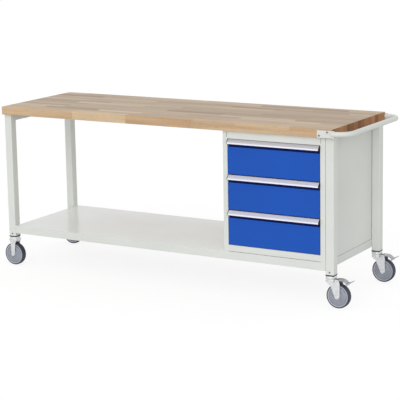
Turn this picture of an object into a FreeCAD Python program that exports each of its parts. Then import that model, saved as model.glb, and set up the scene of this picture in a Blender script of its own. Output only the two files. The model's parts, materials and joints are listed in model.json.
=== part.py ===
import FreeCAD, Part
import os
import Sketcher

# Mobile workbench: a beech worktop on a square-tube frame, a sheet-steel shelf, a three-drawer cabinet at
# the right end, a tubular push handle, two fixed casters on the left and two braked swivel casters on the
# right. Millimetres, +Z up. X runs along the bench, the drawers open towards -Y, and the origin is on the
# floor below the middle of the whole bench, from the left wheels to the push handle.

# Driving dimensions, one sheet row each.
DIMENSIONS = {
    "top_length": 2000, "top_depth": 650, "top_height": 900, "top_thick": 44, "top_round": 2,
    "leg_side": 45, "leg_wall": 2, "leg_round": 4, "leg_setback": 20, "leg_foot": 168,
    "shelf_top": 228, "shelf_edge": 42, "sheet": 1.5,
    "bar_tall": 40, "bar_wide": 25, "bar_wall": 2,
    "rib_tall": 24, "rib_wide": 40, "rib_from_middle": 120,
    "cab_wide": 572, "cab_deep": 606, "cab_gap": 1, "stile_wide": 26, "stile_deep": 16,
    "notch_wide": 2, "notch_tall": 28, "notch_below_top": 6, "rail_gap": 2.5,
    "drawer_base": 263, "drawer_pitch": 184, "front_gap": 2.5, "front_deep": 16,
    "recess_tall": 14, "recess_deep": 10,
    "grip_tall": 25, "grip_out": 16, "grip_wall": 2, "grip_bend": 12, "grip_lip": 9, "cap_thick": 3,
    "box_deep": 530, "box_tall": 120, "box_lift": 14, "slide_space": 15,
    "runner_deep": 27.5, "runner_tall": 40, "runner_length": 560, "runner_lift": 30,
    "member_tall": 36, "member_wide": 9.5, "member_length": 520, "slide_gap": 0.5,
    "tube_dia": 26, "tube_wall": 2, "handle_reach": 85, "handle_bend": 75, "tube_start": 1,
    "plate_length": 92, "plate_tall": 36, "plate_thick": 5, "plate_past_end": 14, "plate_drop": 2,
    "screw_dia": 5, "screw_head": 10, "screw_head_tall": 3.5, "screw_length": 35,
    "plug_lip": 5.5, "plug_tall": 26, "stem_dia": 12, "stem_tall": 28,
    "wheel_dia": 125, "tyre_thick": 6.5, "tyre_wide": 32, "core_wide": 31, "hub_wide": 39, "hub_dia": 32,
    "dish": 1.5, "ring_low": 0.3, "ring_out": 13, "ring_wide": 5, "rim_band": 6, "edge_break": 1,
    "axle_dia": 10, "axle_head": 18, "axle_head_tall": 6, "running_gap": 0.05,
    "fork_wide": 46, "fork_slot": 40, "fork_end": 14, "trail": 40,
    "fixed_end": 11, "fixed_neck": 16, "neck_z": 126, "lug_up": 8, "lug_back": 8.5, "lug_ahead": 7,
    "head_dia": 58, "head_tall": 14, "head_bevel": 4, "race_tall": 12.7, "race_gap": 0.3, "race_bevel": 3,
    "rivet_gap": 1.5, "rivet_tall": 5, "rivet_lip": 4,
    "crown_under": 133, "crown_ahead": 22, "crown_back": 28, "crown_lip": 3, "throat_x": 4, "throat_drop": 20,
    "cheek_drop": 5, "lug_lip": 0.1,
    "pedal_wide": 36, "pivot_dia": 6, "pivot_x": 39, "pivot_z": 140,
}
DRAWER_COUNT = 3
SIDES = {"left": 1, "right": -1}
ENDS = {"front": -1, "rear": 1}

# Positions that several sub-parts share, as expressions on the sheet.
WHEEL_PAST_END = "((dims.wheel_dia - dims.leg_side) / 2)"
X_MIDDLE = f"(({WHEEL_PAST_END} - dims.handle_reach - dims.tube_dia / 2) / 2)"
X_LEFT = f"({X_MIDDLE} - dims.top_length / 2)"
X_RIGHT = f"({X_MIDDLE} + dims.top_length / 2)"
LEG_X = {"left": f"({X_LEFT} + dims.leg_side / 2)", "right": f"({X_RIGHT} - dims.leg_side / 2)"}
LEG_Y = "(dims.top_depth / 2 - dims.leg_setback - dims.leg_side / 2)"
Y_FRONT = "(dims.leg_setback - dims.top_depth / 2)"
Z_UNDER = "(dims.top_height - dims.top_thick)"
Z_HANDLE = "(dims.top_height - dims.top_thick / 2)"
Y_HANDLE = "((dims.top_depth + dims.plate_thick) / 2)"
CAB_RIGHT = f"({X_RIGHT} - dims.leg_side - dims.cab_gap)"
CAB_LEFT = f"({CAB_RIGHT} - dims.cab_wide)"
UPPER_BAR_X = {"left": LEG_X["left"], "right": f"({CAB_RIGHT} - dims.sheet - dims.bar_wide / 2)"}
CAB_TALL = f"({Z_UNDER} - dims.shelf_top)"
OPENING_WIDE = "(dims.cab_wide - 2 * dims.stile_wide)"
FRONT_WIDE = f"({OPENING_WIDE} - 2 * dims.front_gap)"
FRONT_TALL = "(dims.drawer_pitch - 2 * dims.front_gap - dims.grip_tall)"
Z_HEAD = "(dims.leg_foot - dims.plug_lip)"
Z_RACE = f"({Z_HEAD} - dims.head_tall)"
AXLE_Z = "(dims.wheel_dia / 2)"

doc = FreeCAD.newDocument("mobile_workbench")
dims = doc.addObject("Spreadsheet::Sheet", "dims")
for row, (alias, number) in enumerate(DIMENSIONS.items(), start=1):
    dims.set(f"A{row}", alias)
    dims.set(f"B{row}", str(number))
    dims.setAlias(f"B{row}", alias)
doc.recompute()
nodes = []


def place(item, x="0", y="0", z="0"):
    """Bind an object's position to the sheet."""
    for axis, expression in zip("xyz", (x, y, z)):
        item.setExpression("Placement.Base." + axis, expression)
    return item


def turn(item, axis, angle):
    item.Placement.Rotation = FreeCAD.Rotation(FreeCAD.Vector(*axis), angle)
    return item


def node(item, label):
    """Keep an object as one sub-part, written to its own file."""
    item.Label = label
    nodes.append(item)
    return item


def new_body(name, x="0", y="0", z="0"):
    return place(doc.addObject("PartDesign::Body", name), x, y, z)


def new_sketch(body, plane, offset="0"):
    """An empty sketch on one of the body's own origin planes, moved along the plane's normal."""
    sketch = body.newObject("Sketcher::SketchObject", "sketch")
    support = [item for item in body.Origin.OriginFeatures if item.Role == plane + "_Plane"][0]
    sketch.AttachmentSupport = (support, [""])
    sketch.MapMode = "FlatFace"
    sketch.setExpression("AttachmentOffset.Base.z", offset)
    return sketch


def pin(sketch, line, point, kind, expression):
    """Hold one sketch point at a distance from the sketch's origin."""
    number = float(sketch.evalExpression(expression))
    index = sketch.addConstraint(Sketcher.Constraint(kind, -1, 1, line, point, number))
    sketch.setExpression(f"Constraints[{index}]", expression)


def outline(sketch, points):
    """A closed outline of straight lines through points given as pairs of expressions."""
    points = [(str(across), str(along)) for across, along in points]
    spots = [FreeCAD.Vector(*(float(sketch.evalExpression(word)) for word in pair), 0) for pair in points]
    first = sketch.GeometryCount
    count = len(points)
    for index in range(count):
        sketch.addGeometry(Part.LineSegment(spots[index], spots[(index + 1) % count]))
    for index in range(count):
        following = first + (index + 1) % count
        sketch.addConstraint(Sketcher.Constraint("Coincident", first + index, 2, following, 1))
    for index, (across, along) in enumerate(points):
        pin(sketch, first + index, 1, "DistanceX", across)
        pin(sketch, first + index, 1, "DistanceY", along)
    return sketch


def rectangle(sketch, across, along, low_across="0", low_along="0"):
    far = f"({low_across} + {across})"
    top = f"({low_along} + {along})"
    corners = [(low_across, low_along), (far, low_along), (far, top), (low_across, top)]
    return outline(sketch, corners)


def centred_rectangle(sketch, across, along):
    return rectangle(sketch, across, along, f"(-{across} / 2)", f"(-{along} / 2)")


def circle(sketch, diameter, across="0", along="0"):
    spot = FreeCAD.Vector(*(float(sketch.evalExpression(word)) for word in (across, along)), 0)
    radius = float(sketch.evalExpression(diameter)) / 2
    line = sketch.addGeometry(Part.Circle(spot, FreeCAD.Vector(0, 0, 1), radius))
    pin(sketch, line, 3, "DistanceX", across)
    pin(sketch, line, 3, "DistanceY", along)
    index = sketch.addConstraint(Sketcher.Constraint("Diameter", line, 2 * radius))
    sketch.setExpression(f"Constraints[{index}]", diameter)
    return sketch


def pad(body, sketch, length, symmetric=False, backwards=False):
    feature = body.newObject("PartDesign::Pad", "pad")
    feature.Profile = sketch
    feature.setExpression("Length", length)
    feature.SideType = "Symmetric" if symmetric else "One side"
    feature.Reversed = backwards
    return feature


def pocket(body, sketch, length=None, symmetric=False, backwards=False):
    """Cut a sketch out of the body, right through it where no length is given."""
    feature = body.newObject("PartDesign::Pocket", "pocket")
    feature.Profile = sketch
    feature.SideType = "Symmetric" if symmetric else "One side"
    feature.Reversed = backwards
    if length is None:
        feature.Type = "ThroughAll"
    else:
        feature.setExpression("Length", length)
    return feature


def revolve(body, sketch):
    """Turn a sketch a full circle round its own upright axis."""
    feature = body.newObject("PartDesign::Revolution", "revolution")
    feature.Profile = sketch
    feature.ReferenceAxis = (sketch, ["V_Axis"])
    feature.Angle = 360
    return feature


def round_edges(body, feature, radius, wanted):
    """Round those edges of the last feature that the given test picks."""
    doc.recompute()
    names = [f"Edge{index}" for index, edge in enumerate(feature.Shape.Edges, start=1) if wanted(edge)]
    fillet = body.newObject("PartDesign::Fillet", "fillet")
    fillet.Base = (feature, names)
    fillet.setExpression("Radius", radius)
    return fillet


def box(name, size, x, y, z):
    item = place(doc.addObject("Part::Box", name), x, y, z)
    for side, expression in zip(("Length", "Width", "Height"), size):
        item.setExpression(side, expression)
    return item


def cylinder(name, diameter, tall, x, y, z):
    item = place(doc.addObject("Part::Cylinder", name), x, y, z)
    item.setExpression("Radius", f"{diameter} / 2")
    item.setExpression("Height", tall)
    return item


def fuse(name, pieces):
    item = doc.addObject("Part::MultiFuse", name)
    item.Shapes = pieces
    return item


def cut(name, base, tool):
    item = doc.addObject("Part::Cut", name)
    item.Base = base
    item.Tool = tool
    return item


def group(name, pieces):
    """Like pieces that stay separate solids in one sub-part."""
    item = doc.addObject("Part::Compound", name)
    item.Links = pieces
    return item


def worktop():
    """Solid beech board with lightly rounded top edges."""
    body = new_body("worktop", X_MIDDLE, "0", Z_UNDER)
    plan = centred_rectangle(new_sketch(body, "XY"), "dims.top_length", "dims.top_depth")
    board = pad(body, plan, "dims.top_thick")
    top = DIMENSIONS["top_thick"]
    round_edges(body, board, "dims.top_round", lambda edge: edge.BoundBox.ZMin > top - 1)
    node(body, "worktop")


def leg(side, end):
    """Square steel tube from the worktop down to the caster."""
    body = new_body("leg", LEG_X[side], f"{ENDS[end]} * {LEG_Y}", "dims.leg_foot")
    sketch = centred_rectangle(new_sketch(body, "XY"), "dims.leg_side", "dims.leg_side")
    inside = "(dims.leg_side - 2 * dims.leg_wall)"
    centred_rectangle(sketch, inside, inside)
    tube = pad(body, sketch, f"{Z_UNDER} - dims.leg_foot")
    outer = DIMENSIONS["leg_side"] / 2 - 1

    def is_outer_corner(edge):
        spot = edge.CenterOfMass
        return edge.BoundBox.ZLength > outer and min(abs(spot.x), abs(spot.y)) > outer

    round_edges(body, tube, "dims.leg_round", is_outer_corner)
    node(body, f"leg_{end}_{side}")


def cross_bar(label, x, top, long, y="0"):
    """Rectangular tube across one end of the bench."""
    body = new_body("cross_bar", x, y, f"({top} - dims.bar_tall / 2)")
    sketch = centred_rectangle(new_sketch(body, "XZ"), "dims.bar_wide", "dims.bar_tall")
    centred_rectangle(sketch, "(dims.bar_wide - 2 * dims.bar_wall)", "(dims.bar_tall - 2 * dims.bar_wall)")
    pad(body, sketch, long, symmetric=True)
    node(body, label)


def upper_bars():
    """One bar is welded between the left legs. The other lies in the cabinet's top, behind its right side."""
    cross_bar("upper_bar_left", UPPER_BAR_X["left"], Z_UNDER, f"2 * {LEG_Y} - dims.leg_side")
    cabinet_end = "(dims.cab_deep - 2 * dims.sheet)"
    middle = f"({Y_FRONT} + (dims.stile_deep + {cabinet_end}) / 2)"
    cross_bar("upper_bar_right", UPPER_BAR_X["right"], Z_UNDER, f"{cabinet_end} - dims.stile_deep", middle)


def lower_bar(side):
    """Bar that stiffens one end of the shelf from inside."""
    inwards = "(dims.leg_side / 2 + dims.sheet + dims.bar_wide / 2)"
    tray_inside = "dims.top_depth - 2 * dims.leg_setback - 2 * dims.sheet"
    cross_bar(f"lower_bar_{side}", f"{LEG_X[side]} + {SIDES[side]} * {inwards}",
              "(dims.shelf_top - dims.sheet)", tray_inside)


def shelf_plan(sketch, wall):
    """The shelf's outline from above, drawn in by a wall thickness. Its ends meet the legs."""
    long = f"(dims.top_length - 2 * dims.leg_side - 2 * {wall})"
    deep = f"(dims.top_depth - 2 * dims.leg_setback - 2 * {wall})"
    return centred_rectangle(sketch, long, deep)


def shelf():
    """Sheet-steel tray, open below, with its edges folded down."""
    body = new_body("shelf", X_MIDDLE, "0", "dims.shelf_top - dims.shelf_edge")
    pad(body, shelf_plan(new_sketch(body, "XY"), "0"), "dims.shelf_edge")
    hollow = shelf_plan(new_sketch(body, "XY"), "dims.sheet")
    pocket(body, hollow, "dims.shelf_edge - dims.sheet", backwards=True)
    node(body, "shelf_tray")


def shelf_ribs():
    """Two channel stiffeners under the shelf's sheet."""
    ribs = []
    for sign in ENDS.values():
        where = f"{sign} * dims.rib_from_middle"
        body = new_body("rib", X_MIDDLE, where, "dims.shelf_top - dims.sheet - dims.rib_tall")
        half = "(dims.rib_wide / 2)"
        inner = f"({half} - dims.sheet)"
        under = "(dims.rib_tall - dims.sheet)"
        points = [(f"-{half}", "0"), (f"-{inner}", "0"), (f"-{inner}", under), (inner, under), (inner, "0"),
                  (half, "0"), (half, "dims.rib_tall"), (f"-{half}", "dims.rib_tall")]
        run = "dims.top_length - 2 * dims.leg_side - 2 * dims.bar_wide - 4 * dims.sheet"
        pad(body, outline(new_sketch(body, "YZ"), points), run, symmetric=True)
        ribs.append(body)
    node(group("ribs", ribs), "shelf_ribs")


def cabinet_side(side):
    """One folded side sheet: front stile with its return, side wall and rear flange."""
    sign = SIDES[side]
    start = CAB_LEFT if side == "left" else CAB_RIGHT
    body = new_body("cabinet_side", start, Y_FRONT, "dims.shelf_top")
    back_face = "(dims.cab_deep - dims.sheet)"
    profile = [("0", "0"), ("dims.stile_wide", "0"), ("dims.stile_wide", "dims.stile_deep"),
               ("(dims.stile_wide - dims.sheet)", "dims.stile_deep"),
               ("(dims.stile_wide - dims.sheet)", "dims.sheet"), ("dims.sheet", "dims.sheet"),
               ("dims.sheet", back_face), ("dims.stile_wide", back_face),
               ("dims.stile_wide", "dims.cab_deep"), ("0", "dims.cab_deep")]
    sketch = outline(new_sketch(body, "XY"), [(f"{sign} * {x}", y) for x, y in profile])
    pad(body, sketch, CAB_TALL)
    low = f"({CAB_TALL} - dims.notch_below_top - dims.notch_tall)"
    near = "(dims.stile_wide - dims.sheet - dims.notch_wide)"
    far = "(dims.stile_wide - dims.sheet)"
    high = f"({low} + dims.notch_tall)"
    corners = [(near, low), (far, low), (far, high), (near, high)]
    relief = outline(new_sketch(body, "XZ"), [(f"{sign} * {x}", z) for x, z in corners])
    pocket(body, relief, "2 * dims.sheet")
    node(body, f"cabinet_side_{side}")


def cabinet_rail(label, bottom, tall):
    """Folded rail across the cabinet front, between the stiles."""
    body = new_body(label, f"({CAB_LEFT} + dims.stile_wide)", Y_FRONT, bottom)
    deep = "(dims.stile_deep - dims.sheet)"
    inner = f"({tall} - dims.sheet)"
    profile = [("0", "0"), (deep, "0"), (deep, "dims.sheet"), ("dims.sheet", "dims.sheet"),
               ("dims.sheet", inner), (deep, inner), (deep, tall), ("0", tall)]
    pad(body, outline(new_sketch(body, "YZ"), profile), OPENING_WIDE)
    node(body, label)


def cabinet_sheets():
    """Back and floor sheets between the two sides."""
    inner_left = f"({CAB_LEFT} + dims.sheet)"
    inner_wide = "(dims.cab_wide - 2 * dims.sheet)"
    back_y = f"({Y_FRONT} + dims.cab_deep - 2 * dims.sheet)"
    back = box("back", (inner_wide, "dims.sheet", f"{CAB_TALL} - dims.sheet"),
               inner_left, back_y, "dims.shelf_top + dims.sheet")
    node(back, "cabinet_back")
    floor_deep = "dims.cab_deep - dims.stile_deep - dims.sheet"
    floor = box("floor", (inner_wide, floor_deep, "dims.sheet"),
                inner_left, f"({Y_FRONT} + dims.stile_deep)", "dims.shelf_top")
    node(floor, "cabinet_floor")


def drawer_bottom(number):
    """Height of a drawer's share of the opening. Drawer 1 is the top one."""
    return f"(dims.drawer_base + {DRAWER_COUNT - number} * dims.drawer_pitch)"


def drawer_front(number):
    """Blue sheet front folded back all round, stepped back along its top to leave room for fingers."""
    x = f"({CAB_LEFT} + dims.stile_wide + dims.front_gap)"
    body = new_body("drawer_front", x, Y_FRONT, f"{drawer_bottom(number)} + dims.front_gap")
    pad(body, rectangle(new_sketch(body, "XZ"), FRONT_WIDE, FRONT_TALL), "dims.front_deep", backwards=True)
    ledge = f"({FRONT_TALL} - dims.recess_tall)"
    recess = rectangle(new_sketch(body, "XZ"), FRONT_WIDE, "dims.recess_tall", "0", ledge)
    pocket(body, recess, "dims.recess_deep")
    inner_wide = f"({FRONT_WIDE} - 2 * dims.sheet)"
    hollow = new_sketch(body, "XZ", "-dims.sheet")
    pocket(body, rectangle(hollow, inner_wide, f"({ledge} - 2 * dims.sheet)", "dims.sheet", "dims.sheet"))
    upper_hollow = new_sketch(body, "XZ", "-(dims.recess_deep + dims.sheet)")
    pocket(body, rectangle(upper_hollow, inner_wide, "(dims.recess_tall - dims.sheet)", "dims.sheet", ledge))
    node(body, f"drawer_{number}_front")


GRIP_NOSE = "(dims.grip_out - dims.grip_wall)"
GRIP_OUTER = [("0", "dims.grip_tall"), (f"-{GRIP_NOSE}", "dims.grip_bend"),
              ("-dims.grip_out", "dims.grip_lip"), ("-dims.grip_out", "dims.grip_wall")]


def drawer_grip(number):
    """Aluminium grip strip along the drawer's top: a slope, a hanging lip and a web behind the fingers."""
    x = f"({CAB_LEFT} + dims.stile_wide + dims.front_gap + dims.cap_thick)"
    z = f"{drawer_bottom(number)} + dims.front_gap + {FRONT_TALL}"
    body = new_body("drawer_grip", x, Y_FRONT, z)
    lip = f"({GRIP_NOSE} - dims.edge_break / 2)"
    under = "(dims.grip_tall - 2 * dims.grip_wall)"
    flange = "(dims.grip_tall - dims.grip_wall)"
    web = "(dims.recess_deep + dims.grip_wall)"
    inside = [(f"-{lip}", "dims.grip_wall"), (f"-{lip}", "(dims.grip_lip - dims.edge_break)"),
              (f"-({lip} - dims.grip_wall)", "(dims.grip_bend - dims.edge_break)"), ("0", under),
              ("dims.recess_deep", under), ("dims.recess_deep", "0"), (web, "0"), (web, flange),
              ("dims.front_deep", flange), ("dims.front_deep", "dims.grip_tall")]
    sketch = outline(new_sketch(body, "YZ"), GRIP_OUTER + inside)
    pad(body, sketch, f"{FRONT_WIDE} - 2 * dims.cap_thick")
    node(body, f"drawer_{number}_grip")


def grip_caps(number):
    """Black end caps that close both ends of the grip strip."""
    left = f"({CAB_LEFT} + dims.stile_wide + dims.front_gap)"
    right = f"({left} + {FRONT_WIDE} - dims.cap_thick)"
    z = f"{drawer_bottom(number)} + dims.front_gap + {FRONT_TALL}"
    caps = []
    for x in (left, right):
        body = new_body("grip_cap", x, Y_FRONT, z)
        profile = GRIP_OUTER + [("0", "dims.grip_wall"), ("0", "0"), ("dims.front_deep", "0"),
                                ("dims.front_deep", "dims.grip_tall")]
        pad(body, outline(new_sketch(body, "YZ"), profile), "dims.cap_thick")
        caps.append(body)
    node(group("grip_caps", caps), f"drawer_{number}_grip_caps")


def drawer_box(number):
    """Open-topped sheet-steel drawer box."""
    x = f"({CAB_LEFT} + dims.stile_wide + dims.slide_space)"
    body = new_body("drawer_box", x, f"({Y_FRONT} + dims.front_deep)",
                    f"{drawer_bottom(number)} + dims.box_lift")
    wide = f"({OPENING_WIDE} - 2 * dims.slide_space)"
    pad(body, rectangle(new_sketch(body, "XY"), wide, "dims.box_deep"), "dims.box_tall")
    hollow = new_sketch(body, "XY", "dims.sheet")
    inner_wide = f"({wide} - 2 * dims.sheet)"
    inner_deep = "(dims.box_deep - 2 * dims.sheet)"
    rectangle(hollow, inner_wide, inner_deep, "dims.sheet", "dims.sheet")
    pocket(body, hollow, backwards=True)
    node(body, f"drawer_{number}_box")


def slide_member(number, side, profile, length, lift):
    """One straight slide section beside a drawer, its outline measured inwards from the cabinet wall."""
    sign = SIDES[side]
    wall = f"({CAB_LEFT} + dims.sheet)" if side == "left" else f"({CAB_RIGHT} - dims.sheet)"
    start = f"({Y_FRONT} + dims.stile_deep + dims.sheet)"
    body = new_body("slide", wall, start, f"{drawer_bottom(number)} + dims.runner_lift + {lift}")
    sketch = outline(new_sketch(body, "XZ"), [(f"{sign} * {x}", z) for x, z in profile])
    pad(body, sketch, length, backwards=True)
    return body


def drawer_slides():
    """Telescopic slides: runners on the cabinet walls, middle channels, and bars on the drawers."""
    web = "(dims.runner_deep - dims.sheet)"
    inner = "(dims.runner_tall - dims.sheet)"
    runner = [("0", "0"), ("dims.runner_deep", "0"), ("dims.runner_deep", "dims.runner_tall"),
              ("0", "dims.runner_tall"), ("0", inner), (web, inner), (web, "dims.sheet"), ("0", "dims.sheet")]
    near = "(dims.runner_deep + dims.slide_gap)"
    tip = f"({near} + dims.member_wide)"
    high = "(dims.member_tall - dims.sheet)"
    channel = [(near, "0"), (tip, "0"), (tip, "dims.sheet"), (f"({near} + dims.sheet)", "dims.sheet"),
               (f"({near} + dims.sheet)", high), (tip, high), (tip, "dims.member_tall"),
               (near, "dims.member_tall")]
    bar_near = f"({near} + dims.sheet + dims.slide_gap)"
    bar_far = "(dims.stile_wide + dims.slide_space - dims.sheet)"
    bar_low = "(dims.sheet + dims.slide_gap)"
    bar_high = "(dims.member_tall - dims.sheet - dims.slide_gap)"
    bar = [(bar_near, bar_low), (bar_far, bar_low), (bar_far, bar_high), (bar_near, bar_high)]
    lift = "(dims.runner_tall - dims.member_tall) / 2"
    runners = []
    for number in range(1, DRAWER_COUNT + 1):
        runners += [slide_member(number, side, runner, "dims.runner_length", "0") for side in SIDES]
        channels = [slide_member(number, side, channel, "dims.member_length", lift) for side in SIDES]
        node(group("channels", channels), f"drawer_{number}_slide_channels")
        bars = [slide_member(number, side, bar, "dims.member_length", lift) for side in SIDES]
        node(group("bars", bars), f"drawer_{number}_slide_bars")
    node(group("runners", runners), "slide_runners")


def handle_bow(diameter):
    """A U-shaped bow in one level plane: two straight ends, two bends and the grip between them."""
    straight = "dims.handle_reach - dims.handle_bend - dims.tube_start"
    bend_x = f"{X_RIGHT} + dims.handle_reach - dims.handle_bend"
    pieces = []
    for sign, start_angle in ((-1, -90), (1, 0)):
        arm_x = f"{X_RIGHT} + dims.tube_start"
        arm = cylinder("arm", diameter, straight, arm_x, f"{sign} * {Y_HANDLE}", Z_HANDLE)
        pieces.append(turn(arm, (0, 1, 0), 90))
        bend = place(doc.addObject("Part::Torus", "bend"), bend_x,
                     f"{sign} * ({Y_HANDLE} - dims.handle_bend)", Z_HANDLE)
        bend.setExpression("Radius1", "dims.handle_bend")
        bend.setExpression("Radius2", f"{diameter} / 2")
        bend.Angle3 = 90
        pieces.append(turn(bend, (0, 0, 1), start_angle))
    half_grip = f"({Y_HANDLE} - dims.handle_bend)"
    grip = cylinder("grip", diameter, f"2 * {half_grip}", f"{X_RIGHT} + dims.handle_reach",
                    f"-{half_grip}", Z_HANDLE)
    pieces.append(turn(grip, (1, 0, 0), -90))
    return fuse("bow", pieces)


def plate_block(sign):
    """The space that a bracket plate takes."""
    low_y = "(-dims.top_depth / 2 - dims.plate_thick)" if sign < 0 else "(dims.top_depth / 2)"
    x = f"{X_RIGHT} + dims.plate_past_end - dims.plate_length"
    z = f"{Z_HANDLE} - dims.plate_drop - dims.plate_tall / 2"
    return box("plate", ("dims.plate_length", "dims.plate_thick", "dims.plate_tall"), x, low_y, z)


# The bracket screws' places: distance from the plate's inner end, and height above the tube's middle.
BRACKET_SCREWS = [(12, -10), (55, 8)]


def bracket_screw(sign, along, above, diameter, head):
    """A pan-head screw, or with no head the hole for it, through a plate into the worktop's edge."""
    x = f"{X_RIGHT} + dims.plate_past_end - dims.plate_length + {along}"
    z = f"{Z_HANDLE} + {above}"
    outer = "(dims.top_depth / 2 + dims.plate_thick)"
    shank = cylinder("shank", diameter, "dims.screw_length", x, f"{sign} * {outer}", z)
    turn(shank, (1, 0, 0), 90 * sign)
    if not head:
        return shank
    cap = cylinder("cap", "dims.screw_head", "dims.screw_head_tall", x, f"{sign} * {outer}", z)
    return fuse("screw", [shank, turn(cap, (1, 0, 0), -90 * sign)])


def push_handle():
    """Bent tube with slotted ends, the two bracket plates in the slots, and their screws."""
    tube = cut("tube", handle_bow("dims.tube_dia"), handle_bow("(dims.tube_dia - 2 * dims.tube_wall)"))
    slots = group("slots", [plate_block(sign) for sign in ENDS.values()])
    node(cut("slotted_tube", tube, slots), "push_handle_tube")
    plates = []
    screws = []
    for sign in ENDS.values():
        holes = [bracket_screw(sign, *spot, "dims.screw_dia", False) for spot in BRACKET_SCREWS]
        plates.append(cut("drilled_plate", plate_block(sign), group("holes", holes)))
        screws += [bracket_screw(sign, *spot, "dims.screw_dia", True) for spot in BRACKET_SCREWS]
    node(group("plates", plates), "handle_plates")
    node(group("screws", screws), "handle_screws")


def worktop_screws():
    """Screws from below through the upper cross bars into the worktop."""
    screws = []
    bar_under = f"({Z_UNDER} - dims.bar_tall)"
    for side in SIDES:
        for sign in ENDS.values():
            y = f"{sign} * {LEG_Y} / 2"
            shank = cylinder("shank", "dims.screw_dia", "dims.bar_tall + dims.screw_length / 2",
                             UPPER_BAR_X[side], y, bar_under)
            head_z = f"{bar_under} - dims.screw_head_tall"
            head = cylinder("head", "dims.screw_head", "dims.screw_head_tall", UPPER_BAR_X[side], y, head_z)
            screws.append(fuse("screw", [shank, head]))
    node(group("screws", screws), "worktop_screws")


def leg_plugs():
    """Dark plugs that close the leg tubes and carry the casters' stems, with a cross screw in each."""
    plugs = []
    screws = []
    inside = "(dims.leg_side - 2 * dims.leg_wall)"
    for side in SIDES:
        for end, sign in ENDS.items():
            y = f"{sign} * {LEG_Y}"
            lip = box("lip", ("dims.leg_side", "dims.leg_side", "dims.plug_lip"),
                      f"{LEG_X[side]} - dims.leg_side / 2", f"{y} - dims.leg_side / 2", Z_HEAD)
            block = box("block", (inside, inside, "dims.plug_tall"), f"{LEG_X[side]} - {inside} / 2",
                        f"{y} - {inside} / 2", "dims.leg_foot")
            bore_tall = "dims.plug_tall + 2 * dims.plug_lip"
            bore = cylinder("bore", "dims.stem_dia", bore_tall, LEG_X[side], y, Z_HEAD)
            plugs.append(cut("plug", fuse("solid_plug", [lip, block]), bore))
            face = f"{sign} * ({LEG_Y} + dims.leg_side / 2)"
            height = "dims.leg_foot + dims.plug_tall / 2"
            shank = cylinder("shank", "dims.screw_dia", "dims.screw_length / 3", LEG_X[side], face, height)
            head = cylinder("head", "dims.screw_head", "dims.screw_head_tall / 2", LEG_X[side], face, height)
            turned = [turn(shank, (1, 0, 0), 90 * sign), turn(head, (1, 0, 0), -90 * sign)]
            screws.append(fuse("screw", turned))
    node(group("plugs", plugs), "leg_plugs")
    node(group("screws", screws), "leg_plug_screws")


# The tyre's shoulder: how far below the tread and how far in from its side each point lies.
TYRE_CROWN = [(4.5, 0), (2, 1.5), (0.6, 4.5), (0, 9)]


def wheel(side, end):
    """Grey plastic wheel core with raised rings, and the rubber tyre round it, turning about Y."""
    x = LEG_X[side] if side == "left" else f"{LEG_X[side]} + dims.trail"
    spot = (x, f"{ENDS[end]} * {LEG_Y}", AXLE_Z)
    rim = "(dims.wheel_dia / 2 - dims.tyre_thick)"
    bore = "(dims.axle_dia / 2 + dims.running_gap)"
    hub = "(dims.hub_dia / 2)"
    half_hub = "(dims.hub_wide / 2)"
    half_core = "(dims.core_wide / 2)"
    disc = f"({half_core} - dims.dish)"
    ring = f"({half_core} - dims.ring_low)"
    ring_in = f"({hub} + dims.ring_out)"
    ring_end = f"({ring_in} + dims.ring_wide)"
    band = f"({rim} - dims.rim_band)"
    half = [(bore, half_hub), (f"({hub} - dims.edge_break)", half_hub), (f"({hub} + dims.edge_break)", disc),
            (ring_in, disc), (f"({ring_in} + dims.edge_break)", ring),
            (f"({ring_end} - dims.edge_break)", ring), (ring_end, disc), (band, disc),
            (f"({band} + dims.edge_break)", half_core), (rim, half_core)]
    core = new_body("wheel_core", *spot)
    profile = half + [(radius, f"-{across}") for radius, across in reversed(half)]
    revolve(core, outline(new_sketch(core, "XY"), profile))
    node(core, f"wheel_core_{end}_{side}")
    outer = "(dims.wheel_dia / 2)"
    half_tyre = "(dims.tyre_wide / 2)"
    crown = [(rim, half_core)]
    crown += [(f"({outer} - {drop})", f"({half_tyre} - {inwards})") for drop, inwards in TYRE_CROWN]
    tyre = new_body("tyre", *spot)
    profile = crown + [(radius, f"-{across}") for radius, across in reversed(crown)]
    revolve(tyre, outline(new_sketch(tyre, "XY"), profile))
    node(tyre, f"tyre_{end}_{side}")


def axle(x, end):
    """Hexagon-headed axle bolt through a fork, its nut at the far side."""
    y = f"{ENDS[end]} * {LEG_Y}"
    long = "(dims.fork_wide + 2 * dims.axle_head_tall)"
    shaft = turn(cylinder("shaft", "dims.axle_dia", long, x, f"{y} - {long} / 2", AXLE_Z), (1, 0, 0), -90)
    pieces = [shaft]
    for start in (f"{y} - {long} / 2", f"{y} + dims.fork_wide / 2"):
        head = turn(place(doc.addObject("Part::Prism", "hexagon"), x, start, AXLE_Z), (1, 0, 0), -90)
        head.Polygon = 6
        head.setExpression("Circumradius", "dims.axle_head / 2")
        head.setExpression("Height", "dims.axle_head_tall")
        pieces.append(head)
    return fuse("axle", pieces)


def fork_holes(body, axle_x):
    """The wheel's slot is cut before this: the axle's hole goes through both cheeks."""
    pocket(body, circle(new_sketch(body, "XZ"), "dims.axle_dia", axle_x, AXLE_Z), symmetric=True)


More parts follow.
